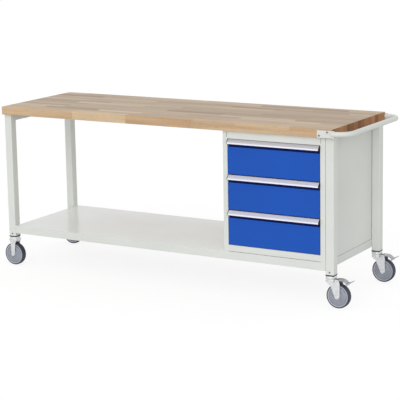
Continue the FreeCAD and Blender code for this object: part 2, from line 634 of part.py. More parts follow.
def fixed_fork(end):
    """Rigid caster fork: a stem in the leg plug, a round head and two tapering cheeks."""
    body = new_body("fixed_fork", LEG_X["left"], f"{ENDS[end]} * {LEG_Y}", "0")
    half_head = "(dims.head_dia / 2 - dims.head_bevel / 2)"
    cheek = [(f"-{half_head}", Z_RACE), ("-dims.fixed_neck", "dims.neck_z"), ("-dims.fixed_end", AXLE_Z),
             ("dims.fixed_end", AXLE_Z), ("dims.fixed_neck", "dims.neck_z"), (half_head, Z_RACE)]
    pad(body, outline(new_sketch(body, "XZ"), cheek), "dims.fork_wide", symmetric=True)
    end_disc = circle(new_sketch(body, "XZ"), "2 * dims.fixed_end", "0", AXLE_Z)
    pad(body, end_disc, "dims.fork_wide", symmetric=True)
    pad(body, circle(new_sketch(body, "XY", Z_RACE), "dims.head_dia"), "dims.head_tall")
    pad(body, circle(new_sketch(body, "XY", Z_HEAD), "dims.stem_dia"), "dims.stem_tall")
    slot = centred_slot(body, "dims.wheel_dia", "dims.crown_under")
    pocket(body, slot, "dims.fork_slot", symmetric=True)
    fork_holes(body, "0")
    return body


def centred_slot(body, wide, top):
    return rectangle(new_sketch(body, "XZ"), wide, top, f"(-{wide} / 2)", "0")


def swivel_head(end):
    """Stem, fixed upper race and riveted kingpin of a swivel caster, turned about the leg's axis."""
    body = new_body("swivel_head", LEG_X["right"], f"{ENDS[end]} * {LEG_Y}", "0")
    stem = "(dims.stem_dia / 2)"
    head = "(dims.head_dia / 2)"
    rivet_top = "(dims.crown_under - dims.rivet_gap)"
    rivet_under = f"({rivet_top} - dims.rivet_tall)"
    rivet = f"({stem} + dims.rivet_lip)"
    profile = [("0", rivet_under), (rivet, rivet_under), (rivet, rivet_top), (stem, rivet_top),
               (stem, Z_RACE), (f"({head} - dims.edge_break)", Z_RACE),
               (head, f"({Z_RACE} + dims.race_bevel)"),
               (head, f"({Z_HEAD} - dims.head_bevel)"), (f"({head} - dims.head_bevel)", Z_HEAD),
               (stem, Z_HEAD), (stem, f"({Z_HEAD} + dims.stem_tall)"), ("0", f"({Z_HEAD} + dims.stem_tall)")]
    revolve(body, outline(new_sketch(body, "XZ"), profile))
    return body


def swivel_fork(end):
    """Turning fork: lower race, crown, two cheeks that trail towards +X, and lugs for the brake pedal."""
    body = new_body("swivel_fork", LEG_X["right"], f"{ENDS[end]} * {LEG_Y}", "0")
    race_bottom = f"({Z_RACE} - dims.race_gap - dims.race_tall)"
    lug_top = "(dims.pivot_z + dims.lug_up)"
    behind = "(dims.trail + dims.fork_end)"
    cheek = [("-dims.crown_ahead", race_bottom), ("dims.crown_back", race_bottom),
             ("(dims.pivot_x - dims.lug_back)", lug_top), ("(dims.pivot_x + dims.lug_ahead)", lug_top),
             (behind, "(dims.crown_under - dims.cheek_drop)"), (behind, AXLE_Z),
             ("(dims.trail - dims.fork_end)", AXLE_Z),
             ("dims.throat_x", "(dims.crown_under - dims.throat_drop)"),
             ("(dims.throat_x - dims.crown_ahead)", "(dims.crown_under - dims.crown_lip)")]
    pad(body, outline(new_sketch(body, "XZ"), cheek), "dims.fork_wide", symmetric=True)
    end_disc = circle(new_sketch(body, "XZ"), "2 * dims.fork_end", "dims.trail", AXLE_Z)
    pad(body, end_disc, "dims.fork_wide", symmetric=True)
    pad(body, circle(new_sketch(body, "XY", race_bottom), "(dims.head_dia - 2)"), "dims.race_tall")
    near = "(dims.pivot_x - dims.lug_back + dims.lug_lip)"
    far = "(2 * dims.wheel_dia)"
    slot = [("-dims.wheel_dia", "0"), (far, "0"), (far, "dims.leg_foot"), (near, "dims.leg_foot"),
            (near, "dims.crown_under"), ("-dims.wheel_dia", "dims.crown_under")]
    pocket(body, outline(new_sketch(body, "XZ"), slot), "dims.fork_slot", symmetric=True)
    pocket(body, circle(new_sketch(body, "XY"), "(dims.stem_dia + 2 * dims.running_gap)"), symmetric=True)
    pivot_hole = "(dims.pivot_dia + 2 * dims.running_gap)"
    pivot = circle(new_sketch(body, "XZ"), pivot_hole, "dims.pivot_x", "dims.pivot_z")
    pocket(body, pivot, symmetric=True)
    fork_holes(body, "dims.trail")
    node(body, f"swivel_fork_{end}")


# The brake pedal seen from the side, measured from its pivot: an arch over the wheel and a raised tip, then
# back below by the brake shoe. Its two hub points come first.
PEDAL_OUTLINE = [(-5, -5), (-5, 5), (2, 8.5), (14, 10), (28, 8), (39, 3), (48, -5.5), (57, -5), (77, 5),
                 (79, 2), (60, -8.5), (52, -18), (47, -18), (46, -9), (37, -1.5), (27, 3), (14, 5), (6, 3),
                 (6, -5)]


def brake_pedal(end):
    """Bent sheet pedal over the wheel, turning on a pin between the fork's lugs."""
    x = f"{LEG_X['right']} + dims.pivot_x"
    body = new_body("brake_pedal", x, f"{ENDS[end]} * {LEG_Y}", "dims.pivot_z")
    pad(body, outline(new_sketch(body, "XZ"), PEDAL_OUTLINE), "dims.pedal_wide", symmetric=True)
    pad(body, circle(new_sketch(body, "XZ"), "dims.pivot_dia"), "dims.fork_wide", symmetric=True)
    node(body, f"brake_pedal_{end}")


def casters():
    """Fixed casters on the left, braked swivel casters on the right."""
    node(group("forks", [fixed_fork(end) for end in ENDS]), "fixed_forks")
    node(group("axles", [axle(LEG_X["left"], end) for end in ENDS]), "fixed_axles")
    node(group("heads", [swivel_head(end) for end in ENDS]), "swivel_heads")
    for end in ENDS:
        swivel_fork(end)
        node(axle(f"{LEG_X['right']} + dims.trail", end), f"swivel_axle_{end}")
        brake_pedal(end)
        for side in SIDES:
            wheel(side, end)


def build():
    worktop()
    for side in SIDES:
        for end in ENDS:
            leg(side, end)
        lower_bar(side)
    upper_bars()
    shelf()
    shelf_ribs()
    for side in SIDES:
        cabinet_side(side)
    opening_top = f"(dims.drawer_base + {DRAWER_COUNT} * dims.drawer_pitch)"
    cabinet_rail("cabinet_rail_top", opening_top, f"({Z_UNDER} - {opening_top})")
    rail_bottom = "(dims.shelf_top + dims.rail_gap)"
    cabinet_rail("cabinet_rail_bottom", rail_bottom, f"(dims.drawer_base - {rail_bottom})")
    cabinet_sheets()
    for number in range(1, DRAWER_COUNT + 1):
        drawer_front(number)
        drawer_grip(number)
        grip_caps(number)
        drawer_box(number)
    drawer_slides()
    push_handle()
    worktop_screws()
    leg_plugs()
    casters()


def check_and_write():
    """Stop at any failed object, then write one file per sub-part."""
    doc.recompute()
    for item in doc.Objects:
        if {"Invalid", "Error"} & set(item.State):
            raise RuntimeError(f"{item.Name} ({item.Label}) failed: {item.State}")
    for item in nodes:
        if item.Shape.isNull() or not item.Shape.isValid():
            raise RuntimeError(f"{item.Label} has no valid shape")
    os.makedirs("parts", exist_ok=True)
    for item in nodes:
        item.Shape.exportStep(f"parts/{item.Label}.step")
        print(f"{item.Label}: {len(item.Shape.Solids)} solids, {item.Shape.Volume / 1000:.1f} cm3")
    print(f"{len(nodes)} sub-parts")


build()
check_and_write()
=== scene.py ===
# %% [markdown]
# # A mobile workbench, dressed for the photograph
# The bench arrives as a frame of solids, one per real piece, in metres. This lesson gives every piece its
# finish: beech staves on top, powder-coated steel, aluminium grips, zinc-plated casters. Each step first says
# what the real piece is, then how it could be made, and why one way was chosen.

# %% Load the frame
import json
import math
import random
import bmesh
import bpy
from mathutils import Matrix, Vector


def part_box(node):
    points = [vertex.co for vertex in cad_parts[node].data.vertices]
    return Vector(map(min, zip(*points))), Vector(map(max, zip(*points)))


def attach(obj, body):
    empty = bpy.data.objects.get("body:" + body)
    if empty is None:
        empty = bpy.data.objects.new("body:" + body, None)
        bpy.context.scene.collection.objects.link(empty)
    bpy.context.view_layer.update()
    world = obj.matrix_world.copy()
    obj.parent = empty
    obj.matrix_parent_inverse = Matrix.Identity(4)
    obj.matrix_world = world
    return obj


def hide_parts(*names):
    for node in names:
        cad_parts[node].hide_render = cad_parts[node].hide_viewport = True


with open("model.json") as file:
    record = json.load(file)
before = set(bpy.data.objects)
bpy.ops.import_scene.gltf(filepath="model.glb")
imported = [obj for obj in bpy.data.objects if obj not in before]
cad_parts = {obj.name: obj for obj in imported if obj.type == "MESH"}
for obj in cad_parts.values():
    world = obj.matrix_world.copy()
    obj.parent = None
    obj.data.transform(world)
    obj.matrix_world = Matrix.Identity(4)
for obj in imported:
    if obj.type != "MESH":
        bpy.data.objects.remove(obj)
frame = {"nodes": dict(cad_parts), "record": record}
solids = frame["nodes"]
bodies = frame["record"]["behaviour"]["bodies"]
body_of_node = {node: body for body, members in bodies.items() for node in members}
slot_of_node = {row["node"]: row["material_slot"] for row in frame["record"]["subparts"]}
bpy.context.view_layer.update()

# %% [markdown]
# ## Finishes
# A finish is a small node tree: a colour that drifts a little over the piece, a roughness, and a bump at the
# scale of the real surface. Patterns read Object coordinates, which are metres here, so a noise scale of 1000
# is a grain of about one millimetre. Edges wear first: every rolled edge further down carries an attribute
# named edge_wear, and a finish mixes its worn colour in there. Helpers make the tree's common parts, so that
# each finish below only says what is special about it.

# %% Start a finish: shader, noise and colour ramp
MILLIMETRE = 0.001


def new_finish(name, roughness, metallic=0.0):
    """An empty finish with its shader, ready for colour and bump."""
    material = bpy.data.materials.new(name)
    material.use_nodes = True
    shader = material.node_tree.nodes["Principled BSDF"]
    shader.inputs["Roughness"].default_value = roughness
    shader.inputs["Metallic"].default_value = metallic
    return material, material.node_tree, shader


def add_noise(tree, scale, stretch=(1, 1, 1), detail=3.0, source=None):
    """Noise on Object coordinates, stretched along the axes, or on another vector."""
    mapping = tree.nodes.new("ShaderNodeMapping")
    mapping.inputs["Scale"].default_value = stretch
    if source is None:
        source = tree.nodes.new("ShaderNodeTexCoord").outputs["Object"]
    tree.links.new(source, mapping.inputs["Vector"])
    noise = tree.nodes.new("ShaderNodeTexNoise")
    noise.inputs["Scale"].default_value = scale
    noise.inputs["Detail"].default_value = detail
    tree.links.new(mapping.outputs["Vector"], noise.inputs["Vector"])
    return noise.outputs["Fac"]


def add_ramp(tree, factor, stops):
    """A colour ramp through the given (position, colour) stops."""
    ramp = tree.nodes.new("ShaderNodeValToRGB")
    elements = ramp.color_ramp.elements
    while len(elements) < len(stops):
        elements.new(0.5)
    for element, (position, colour) in zip(elements, stops):
        element.position = position
        element.color = (*colour, 1.0)
    tree.links.new(factor, ramp.inputs["Fac"])
    return ramp.outputs["Color"]


# %% Vary a finish: tone, roughness, relief and wear
WEAR_SCALE = 60.0
# Most of a noise lies between these two values.
NOISE_SPAN = (0.3, 0.7)


def shade(colour, factor):
    """A colour made darker or lighter by a factor."""
    return tuple(channel * factor for channel in colour)


def vary_tone(tree, factor, colour, shares):
    """Let a colour follow a pattern between two shares of itself."""
    return add_ramp(tree, factor, [(stop, shade(colour, share)) for stop, share in zip(NOISE_SPAN, shares)])


def add_bump(tree, shader, height, strength, depth):
    """Relief from a height, with its depth in metres."""
    bump = tree.nodes.new("ShaderNodeBump")
    bump.inputs["Strength"].default_value = strength
    bump.inputs["Distance"].default_value = depth
    tree.links.new(height, bump.inputs["Height"])
    tree.links.new(bump.outputs["Normal"], shader.inputs["Normal"])


def vary_roughness(tree, shader, factor, low, high):
    """Let the roughness follow a pattern between two values."""
    spread = tree.nodes.new("ShaderNodeMapRange")
    spread.inputs["To Min"].default_value = low
    spread.inputs["To Max"].default_value = high
    tree.links.new(factor, spread.inputs["Value"])
    tree.links.new(spread.outputs["Result"], shader.inputs["Roughness"])


def read_attribute(tree, name, output):
    """A value that the mesh carries under a name."""
    reader = tree.nodes.new("ShaderNodeAttribute")
    reader.attribute_name = name
    return reader.outputs[output]


def add_wear(tree, tone, worn):
    """Mix a worn colour into a tone where a piece carries edge wear, broken into patches."""
    amount = tree.nodes.new("ShaderNodeMath")
    amount.operation = "MULTIPLY"
    tree.links.new(read_attribute(tree, "edge_wear", "Fac"), amount.inputs[0])
    tree.links.new(add_noise(tree, WEAR_SCALE), amount.inputs[1])
    mix = tree.nodes.new("ShaderNodeMix")
    mix.data_type = "RGBA"
    mix.inputs["B"].default_value = (*worn, 1.0)
    tree.links.new(amount.outputs["Value"], mix.inputs["Factor"])
    tree.links.new(tone, mix.inputs["A"])
    return mix.outputs["Result"]


# %% [markdown]
# ### Powder coat
# The frame, the shelf and the drawer fronts are powder-coated: the powder melts to a skin with a fine orange
# peel. A flat colour would look like plastic, so two noises do the work: a slow drift of the tone by a few
# percent, and a millimetre-sized relief that breaks up the highlights.

# %% Powder coats in light grey and blue
PEEL_SCALE = 700.0
PEEL_DEPTH = 0.15 * MILLIMETRE
PEEL_STRENGTH = 0.12
PEEL_ROUGHNESS = 0.06
DRIFT_SCALE = 2.5
DRIFT_SHARES = (0.96, 1.03)
COAT_WEAR = 1.25


def powder_coat(name, colour, roughness, gloss):
    """A sprayed and baked coat: tone drift, orange peel, and a gloss level for its skin."""
    material, tree, shader = new_finish(name, roughness)
    shader.inputs["Specular IOR Level"].default_value = gloss
    drift = add_noise(tree, DRIFT_SCALE, detail=2.0)
    tone = vary_tone(tree, drift, colour, DRIFT_SHARES)
    tree.links.new(add_wear(tree, tone, shade(colour, COAT_WEAR)), shader.inputs["Base Color"])
    peel = add_noise(tree, PEEL_SCALE, detail=2.0)
    vary_roughness(tree, shader, peel, roughness - PEEL_ROUGHNESS, roughness + PEEL_ROUGHNESS)
    add_bump(tree, shader, peel, PEEL_STRENGTH, PEEL_DEPTH)
    return material


GREY_COAT = (0.70, 0.72, 0.685)
# Painted light: the shelf's top alone takes this paler coat, its edges keep the grey one.
SHELF_TOP_LIGHT_COAT = (0.86, 0.88, 0.875)
DRAWER_COAT = (0.60, 0.615, 0.60)
BLUE_COAT = (0.012, 0.088, 0.46)
# Painted shade: a far darker blue for the recess below each grip, where the grip's lip shades the front.
RECESS_SHADE_COAT = (0.002, 0.010, 0.11)
grey_paint = powder_coat("grey_powder_coat", GREY_COAT, roughness=0.42, gloss=0.4)
shelf_top_light_paint = powder_coat("shelf_top_light_powder_coat", SHELF_TOP_LIGHT_COAT, roughness=0.2, gloss=0.5)
drawer_paint = powder_coat("drawer_powder_coat", DRAWER_COAT, roughness=0.45, gloss=0.4)
blue_paint = powder_coat("blue_powder_coat", BLUE_COAT, roughness=0.42, gloss=0.15)
recess_shade_paint = powder_coat("recess_shade_powder_coat", RECESS_SHADE_COAT, roughness=0.5, gloss=0.1)
coats = (grey_paint, shelf_top_light_paint, drawer_paint, blue_paint, recess_shade_paint)
print("powder coats:", [coat.name for coat in coats])

# %% [markdown]
# ### Metals
# Two metals show. The grip strips are drawn aluminium, anodised: fine lines run along them. A picture of such
# lines would blur close up, so a noise is stretched hard along X. The grip's upward slope takes a darker
# aluminium than the lip, as painted shade. The casters and slides are zinc-plated steel, with a soft cloudy
# spangle. The brake pedals are plated too, and darker from shoes, and the screws are darker still.

# %% Aluminium and zinc
LINE_SCALE = 3.0
LINE_STRETCH = (1.0, 400.0, 400.0)
LINE_SHARES = (0.93, 1.04)
LINE_ROUGHNESS = (0.34, 0.5)
SPANGLE_SCALE = 90.0
SPANGLE_SHARES = (0.88, 1.08)
SPANGLE_ROUGHNESS = (0.28, 0.46)
PLATE_GRAIN = 1400.0
PLATE_WEAR = 1.2
METAL_RELIEF = 0.05 * MILLIMETRE


def anodised_aluminium(name, colour):
    """Drawn metal: fine lines along X in its tone, its roughness and its relief."""
    material, tree, shader = new_finish(name, roughness=0.34, metallic=0.6)
    lines = add_noise(tree, LINE_SCALE, LINE_STRETCH, detail=4.0)
    tree.links.new(vary_tone(tree, lines, colour, LINE_SHARES), shader.inputs["Base Color"])
    vary_roughness(tree, shader, lines, *LINE_ROUGHNESS)
    add_bump(tree, shader, lines, strength=0.08, depth=METAL_RELIEF)
    return material


def zinc_plate(name, colour):
    """Plated steel: a cloudy spangle over a fine grain, brighter along worn edges."""
    material, tree, shader = new_finish(name, roughness=0.36, metallic=0.7)
    spangle = add_noise(tree, SPANGLE_SCALE, detail=4.0)
    tone = vary_tone(tree, spangle, colour, SPANGLE_SHARES)
    tree.links.new(add_wear(tree, tone, shade(colour, PLATE_WEAR)), shader.inputs["Base Color"])
    vary_roughness(tree, shader, spangle, *SPANGLE_ROUGHNESS)
    add_bump(tree, shader, add_noise(tree, PLATE_GRAIN), strength=0.06, depth=METAL_RELIEF)
    return material


grip_aluminium = anodised_aluminium("anodised_aluminium", (0.86, 0.86, 0.95))
# Painted shade: the grip's upward slope takes this darker aluminium.
slope_shade_aluminium = anodised_aluminium("aluminium_slope_shade", (0.66, 0.66, 0.72))
zinc = zinc_plate("zinc_plate", (0.70, 0.71, 0.72))
pedal_zinc = zinc_plate("pedal_zinc_plate", (0.42, 0.43, 0.46))
screw_steel = zinc_plate("screw_steel", (0.26, 0.26, 0.27))
metals = (grip_aluminium, slope_shade_aluminium, zinc, pedal_zinc, screw_steel)
print("metals:", [metal.name for metal in metals])

# %% [markdown]
# ### Plastics and rubber
# Wheel cores are moulded grey plastic with a fine spark-eroded grain. The raised bead along the rim takes a
# lighter plastic as painted highlight, and the groove beside it a darker one as painted shade. Tyres are dark
# blue-grey rubber, duller and a little dusty. The caps and leg plugs are black plastic, and the joints at the
# cabinet's foot are sealed with grey mastic, whose dark grey is painted shade for the line along that joint.
# They differ in colour, dullness and grain only, so one function makes them all.

# %% Moulded plastics and rubber
CLOUD_SCALE = 25.0
CLOUD_SHARES = (0.9, 1.1)
MOULDED_WEAR = 1.5
MOULDED_RELIEF = 0.1 * MILLIMETRE
GRAIN_ROUGHNESS = 0.07
SPARK_GRAIN = 900.0
RUBBER_GRAIN = 500.0
MASTIC_GRAIN = 300.0


def moulded(name, colour, roughness, grain):
    """A moulded piece: a faint cloud in its tone, a grain, and paler worn edges."""
    material, tree, shader = new_finish(name, roughness)
    cloud = add_noise(tree, CLOUD_SCALE)
    tone = vary_tone(tree, cloud, colour, CLOUD_SHARES)
    tree.links.new(add_wear(tree, tone, shade(colour, MOULDED_WEAR)), shader.inputs["Base Color"])
    fine = add_noise(tree, grain)
    vary_roughness(tree, shader, fine, roughness - GRAIN_ROUGHNESS, roughness + GRAIN_ROUGHNESS)
    add_bump(tree, shader, fine, strength=0.15, depth=MOULDED_RELIEF)
    return material


wheel_plastic = moulded("wheel_plastic", (0.29, 0.31, 0.36), 0.45, SPARK_GRAIN)
# Painted highlight on the rim's bead, and painted shade in the groove beside it.
bead_highlight_plastic = moulded("rim_bead_painted_highlight", (0.44, 0.46, 0.51), 0.4, SPARK_GRAIN)
groove_shade_plastic = moulded("groove_shade_plastic", (0.13, 0.14, 0.17), 0.55, SPARK_GRAIN)
tyre_rubber = moulded("tyre_rubber", (0.038, 0.043, 0.066), 0.65, RUBBER_GRAIN)
black_plastic = moulded("black_plastic", (0.012, 0.012, 0.016), 0.5, SPARK_GRAIN)
# Painted shade: the mastic's dark grey stands for the shadow line along the cabinet's foot.
shaded_mastic = moulded("grey_mastic_painted_shade", (0.36, 0.37, 0.36), 0.6, MASTIC_GRAIN)
plastics = (wheel_plastic, bead_highlight_plastic, groove_shade_plastic, tyre_rubber, black_plastic, shaded_mastic)
print("moulded:", [plastic.name for plastic in plastics])

# %% [markdown]
# ### Beech
# The worktop is glued from beech staves. Along the stave the grain runs as long streaks with short dark ray
# flecks: greyed by oil on top, fresher and warmer along the front and back edges and where sleeves polish the
# top's front strip. On the two ends the cut fibres drink oil and turn brown. A picture of wood would run the
# wrong way on the ends, so noise makes the grain, with one finish along it and one across. Every stave comes
# from another board, so each carries two attributes: a tone, and a shift that moves the grain pattern to its
# own place.

# %% Tones of the staves
# Each row of tones runs from the darkest stave to the palest.
TOP_TONES = ((0.36, 0.241, 0.153), (0.496, 0.37, 0.252), (0.622, 0.493, 0.34))
EDGE_TONES = ((0.477, 0.273, 0.132), (0.609, 0.432, 0.27), (0.746, 0.592, 0.392))
END_TONES = ((0.13, 0.045, 0.018), (0.36, 0.165, 0.07), (0.68, 0.37, 0.16))
TONE_STOPS = (0.0, 0.5, 1.0)
POLISHED_STRIP = 0.16
POLISHED_SHARE = 0.85


def stave_place(tree):
    """Object coordinates moved by the stave's own shift."""
    place = tree.nodes.new("ShaderNodeVectorMath")
    place.operation = "ADD"
    tree.links.new(tree.nodes.new("ShaderNodeTexCoord").outputs["Object"], place.inputs[0])
    tree.links.new(read_attribute(tree, "stave_shift", "Vector"), place.inputs[1])
    return place.outputs["Vector"]


def multiply_colours(tree, first, second, amount):
    """Darken one colour by another, to the given amount."""
    mix = tree.nodes.new("ShaderNodeMix")
    mix.data_type = "RGBA"
    mix.blend_type = "MULTIPLY"
    mix.inputs["Factor"].default_value = amount
    tree.links.new(first, mix.inputs["A"])
    tree.links.new(second, mix.inputs["B"])
    return mix.outputs["Result"]


def polish_front(tree, tone, fresh):
    """Mix the fresh wood's tone in towards the worktop's front edge."""
    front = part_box("worktop")[0].y
    place = tree.nodes.new("ShaderNodeSeparateXYZ")
    tree.links.new(tree.nodes.new("ShaderNodeTexCoord").outputs["Object"], place.inputs["Vector"])
    fade = tree.nodes.new("ShaderNodeMapRange")
    fade.inputs["From Min"].default_value = front
    fade.inputs["From Max"].default_value = front + POLISHED_STRIP
    fade.inputs["To Min"].default_value = POLISHED_SHARE
    fade.inputs["To Max"].default_value = 0.0
    tree.links.new(place.outputs["Y"], fade.inputs["Value"])
    mix = tree.nodes.new("ShaderNodeMix")
    mix.data_type = "RGBA"
    tree.links.new(fade.outputs["Result"], mix.inputs["Factor"])
    tree.links.new(tone, mix.inputs["A"])
    tree.links.new(fresh, mix.inputs["B"])
    return mix.outputs["Result"]


def tone_ramp(tree, tones):
    """The stave's own tone between a dark, a middle and a pale colour."""
    own_tone = read_attribute(tree, "stave_tone", "Fac")
    return add_ramp(tree, own_tone, list(zip(TONE_STOPS, tones)))


# %% Beech along and across the grain
LONG_GRAIN = (2.2, 45.0, 45.0)
RAY_FLECKS = (55.0, 520.0, 520.0)
PORES = (300.0, 900.0, 900.0)
RING_SCALE = 38.0
RING_WOBBLE = 2.5
ALONG_GLOSS = 0.3
ACROSS_GLOSS = 0.2
FLECK_SHARE = 0.6
PORE_SHARE = 0.7
WHITE = (1.0, 1.0, 1.0)
# Each mark darkens the wood at its first stop and leaves it as it is from its second one on.
STREAK_STOPS = [(0.32, (0.80, 0.76, 0.70)), (0.62, WHITE)]
FLECK_STOPS = [(0.30, (0.72, 0.64, 0.55)), (0.40, WHITE)]
RING_STOPS = [(0.2, (0.78, 0.74, 0.70)), (0.8, WHITE)]
PORE_STOPS = [(0.35, (0.66, 0.62, 0.58)), (0.48, WHITE)]


def beech_along(name, roughness, tones, fresh_tones):
    """Beech seen along the stave: its tone, fresher towards the front edge, streaks and ray flecks."""
    material, tree, shader = new_finish(name, roughness)
    shader.inputs["Specular IOR Level"].default_value = ALONG_GLOSS
    place = stave_place(tree)
    tone = polish_front(tree, tone_ramp(tree, tones), tone_ramp(tree, fresh_tones))
    streak = add_noise(tree, 1.0, LONG_GRAIN, detail=6.0, source=place)
    streaks = add_ramp(tree, streak, STREAK_STOPS)
    fleck = add_noise(tree, 1.0, RAY_FLECKS, detail=1.0, source=place)
    flecks = add_ramp(tree, fleck, FLECK_STOPS)
    wood = multiply_colours(tree, multiply_colours(tree, tone, streaks, 1.0), flecks, FLECK_SHARE)
    tree.links.new(wood, shader.inputs["Base Color"])
    vary_roughness(tree, shader, streak, low=roughness - 0.06, high=roughness + 0.08)
    add_bump(tree, shader, fleck, strength=0.1, depth=0.1 * MILLIMETRE)
    return material


def beech_across():
    """Beech end grain: browner, in blocks, with close growth rings."""
    material, tree, shader = new_finish("beech_end_grain", roughness=0.6)
    shader.inputs["Specular IOR Level"].default_value = ACROSS_GLOSS
    place = stave_place(tree)
    tone = tone_ramp(tree, END_TONES)
    rings = tree.nodes.new("ShaderNodeTexWave")
    rings.wave_type = "RINGS"
    rings.rings_direction = "X"
    rings.inputs["Scale"].default_value = RING_SCALE
    rings.inputs["Distortion"].default_value = RING_WOBBLE
    tree.links.new(place, rings.inputs["Vector"])
    ring_tone = add_ramp(tree, rings.outputs["Fac"], RING_STOPS)
    pores = add_noise(tree, 1.0, PORES, detail=1.0, source=place)
    pore_tone = add_ramp(tree, pores, PORE_STOPS)
    wood = multiply_colours(tree, multiply_colours(tree, tone, ring_tone, 1.0), pore_tone, PORE_SHARE)
    tree.links.new(wood, shader.inputs["Base Color"])
    add_bump(tree, shader, pores, strength=0.2, depth=0.15 * MILLIMETRE)
    return material


beech_top = beech_along("beech_top", 0.42, TOP_TONES, EDGE_TONES)
beech_edge = beech_along("beech_edge", 0.5, EDGE_TONES, EDGE_TONES)
beech_end = beech_across()
print("beech:", beech_top.name, beech_edge.name, beech_end.name)

# %% [markdown]
# ## The worktop
# A board painted with stripes would show the stave pattern only from afar. Here each stave is a real bar with
# a hair of a chamfer, laid in rows like the joiner lays them, with staggered butt joints. The front row faces
# the eye, so its five staves are listed; the rows behind it are drawn at random from a fixed seed. The
# bars are plain mesh code, because a chamfer must not stretch with the bar's length.

# %% Lengths and tones of the staves
STAVE_LENGTHS = (0.26, 0.56)
SHORTEST_STAVE = 0.12
MIDDLE_TONE = 0.5
TONE_SPREAD = 0.28
# The front row from left to right: each stave's length in metres, and its tone from dark, 0, to pale, 1.
FRONT_STAVES = ((0.47, 0.53), (0.34, 0.78), (0.40, 0.36), (0.56, 0.58), (0.23, 0.46))


def front_row(low, high):
    """Joints and tones of the front row. Its last stave ends at the board's end."""
    cuts = [low]
    for length, _ in FRONT_STAVES[:-1]:
        cuts.append(cuts[-1] + length)
    return cuts + [high], [tone for _, tone in FRONT_STAVES]


def drawn_row(low, high, draw):
    """Joints and tones of a row drawn at random."""
    cuts = [low]
    step = draw.uniform(SHORTEST_STAVE, STAVE_LENGTHS[1])
    while high - cuts[-1] - step > SHORTEST_STAVE:
        cuts.append(cuts[-1] + step)
        step = draw.uniform(*STAVE_LENGTHS)
    cuts.append(high)
    return cuts, [min(max(draw.gauss(MIDDLE_TONE, TONE_SPREAD), 0.0), 1.0) for _ in cuts[1:]]


print("front row:", len(FRONT_STAVES), "staves,", round(sum(length for length, _ in FRONT_STAVES), 2), "m")

# %% Lay the staves
STAVE_ROWS = 15
STAVE_CHAMFER = 0.35 * MILLIMETRE
STAVE_SEED = 11
GRAIN_SHIFT = 9.0
# A face looks along an axis where its normal's share there is larger than this.
FACING = 0.9
# Places of the three finishes in the worktop's list of materials.
TOP_FACE, END_FACE, EDGE_FACE = range(3)


def add_bar(mesh, low, high, chamfer):
    """One chamfered bar between two corners. Returns its faces."""
    size = high - low
    centre = Matrix.Translation((low + high) / 2) @ Matrix.Diagonal((*size, 1.0))
    made = bmesh.ops.create_cube(mesh, size=1.0, matrix=centre)
    edges = list(dict.fromkeys(edge for vertex in made["verts"] for edge in vertex.link_edges))
    before = set(mesh.faces)
    first = {face for vertex in made["verts"] for face in vertex.link_faces}
    bmesh.ops.bevel(mesh, geom=edges, offset=chamfer, segments=1, affect="EDGES", clamp_overlap=True)
    return [face for face in mesh.faces if face not in before or face in first]


def new_piece(name, mesh, finishes):
    """Turn a bmesh into an object of the scene."""
    data = bpy.data.meshes.new(name)
    mesh.to_mesh(data)
    mesh.free()
    for finish in finishes:
        data.materials.append(finish)
    piece = bpy.data.objects.new(name, data)
    bpy.context.scene.collection.objects.link(piece)
    return piece


def lay_worktop():
    """All rows of staves as one piece. Returns it with the number of staves."""
    low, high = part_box("worktop")
    draw = random.Random(STAVE_SEED)
    mesh = bmesh.new()
    tone_layer = mesh.faces.layers.float.new("stave_tone")
    shift_layer = mesh.faces.layers.float_vector.new("stave_shift")
    row_deep = (high.y - low.y) / STAVE_ROWS
    count = 0
    for row in range(STAVE_ROWS):
        cuts, tones = drawn_row(low.x, high.x, draw) if row else front_row(low.x, high.x)
        for start, stop, tone in zip(cuts, cuts[1:], tones):
            near = Vector((start, low.y + row * row_deep, low.z))
            far = Vector((stop, low.y + (row + 1) * row_deep, high.z))
            shift = Vector([draw.uniform(0, GRAIN_SHIFT) for _ in range(3)])
            for face in add_bar(mesh, near, far, STAVE_CHAMFER):
                face[tone_layer] = tone
                face[shift_layer] = shift
                along_x, along_y, _ = [abs(part) > FACING for part in face.normal]
                face.material_index = END_FACE if along_x else EDGE_FACE if along_y else TOP_FACE
            count += 1
    return new_piece("worktop_staves", mesh, [beech_top, beech_end, beech_edge]), count


worktop, stave_count = lay_worktop()
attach(worktop, "frame")
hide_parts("worktop")
print("staves:", stave_count, "faces:", len(worktop.data.polygons))

# %% [markdown]
# ## Folded sheet, tube and forgings
# Real steel has no knife edges: sheet is folded round a radius, tube corners are rolled, and castings are
# rounded. The solids have sharp corners, so those that show are copied, their triangles joined back to flat
# faces, and their edges rolled over with a bevel as wide as the real radius. Smooth shading would bend the
# light far into the flat faces beside a bevel. A Weighted Normal modifier lets the large faces rule, and is
# baked in.

# %% Groups of nodes and their finishes
LEGS = [f"leg_{end}_{side}" for end in ("front", "rear") for side in ("left", "right")]
BARS = [f"{level}_bar_{side}" for level in ("upper", "lower") for side in ("left", "right")]
SHEETS = ["shelf_tray", "cabinet_side_left", "cabinet_side_right", "cabinet_rail_top", "cabinet_rail_bottom"]
FRONTS = [f"drawer_{number}_front" for number in (1, 2, 3)]
GRIPS = [f"drawer_{number}_grip" for number in (1, 2, 3)]
CAPS = [f"drawer_{number}_grip_caps" for number in (1, 2, 3)]
BOXES = [f"drawer_{number}_box" for number in (1, 2, 3)]
FORKS = ["fixed_forks", "swivel_heads", "swivel_fork_front", "swivel_fork_rear"]
PEDALS = ["brake_pedal_front", "brake_pedal_rear"]
FINISH_OF_SLOT = {
    "grey_paint": grey_paint, "blue_paint": blue_paint, "drawer_paint": drawer_paint,
    "grip_aluminium": grip_aluminium, "zinc": zinc, "black_plastic": black_plastic,
    "wheel_plastic": wheel_plastic, "tyre_rubber": tyre_rubber, "beech": beech_top,
}


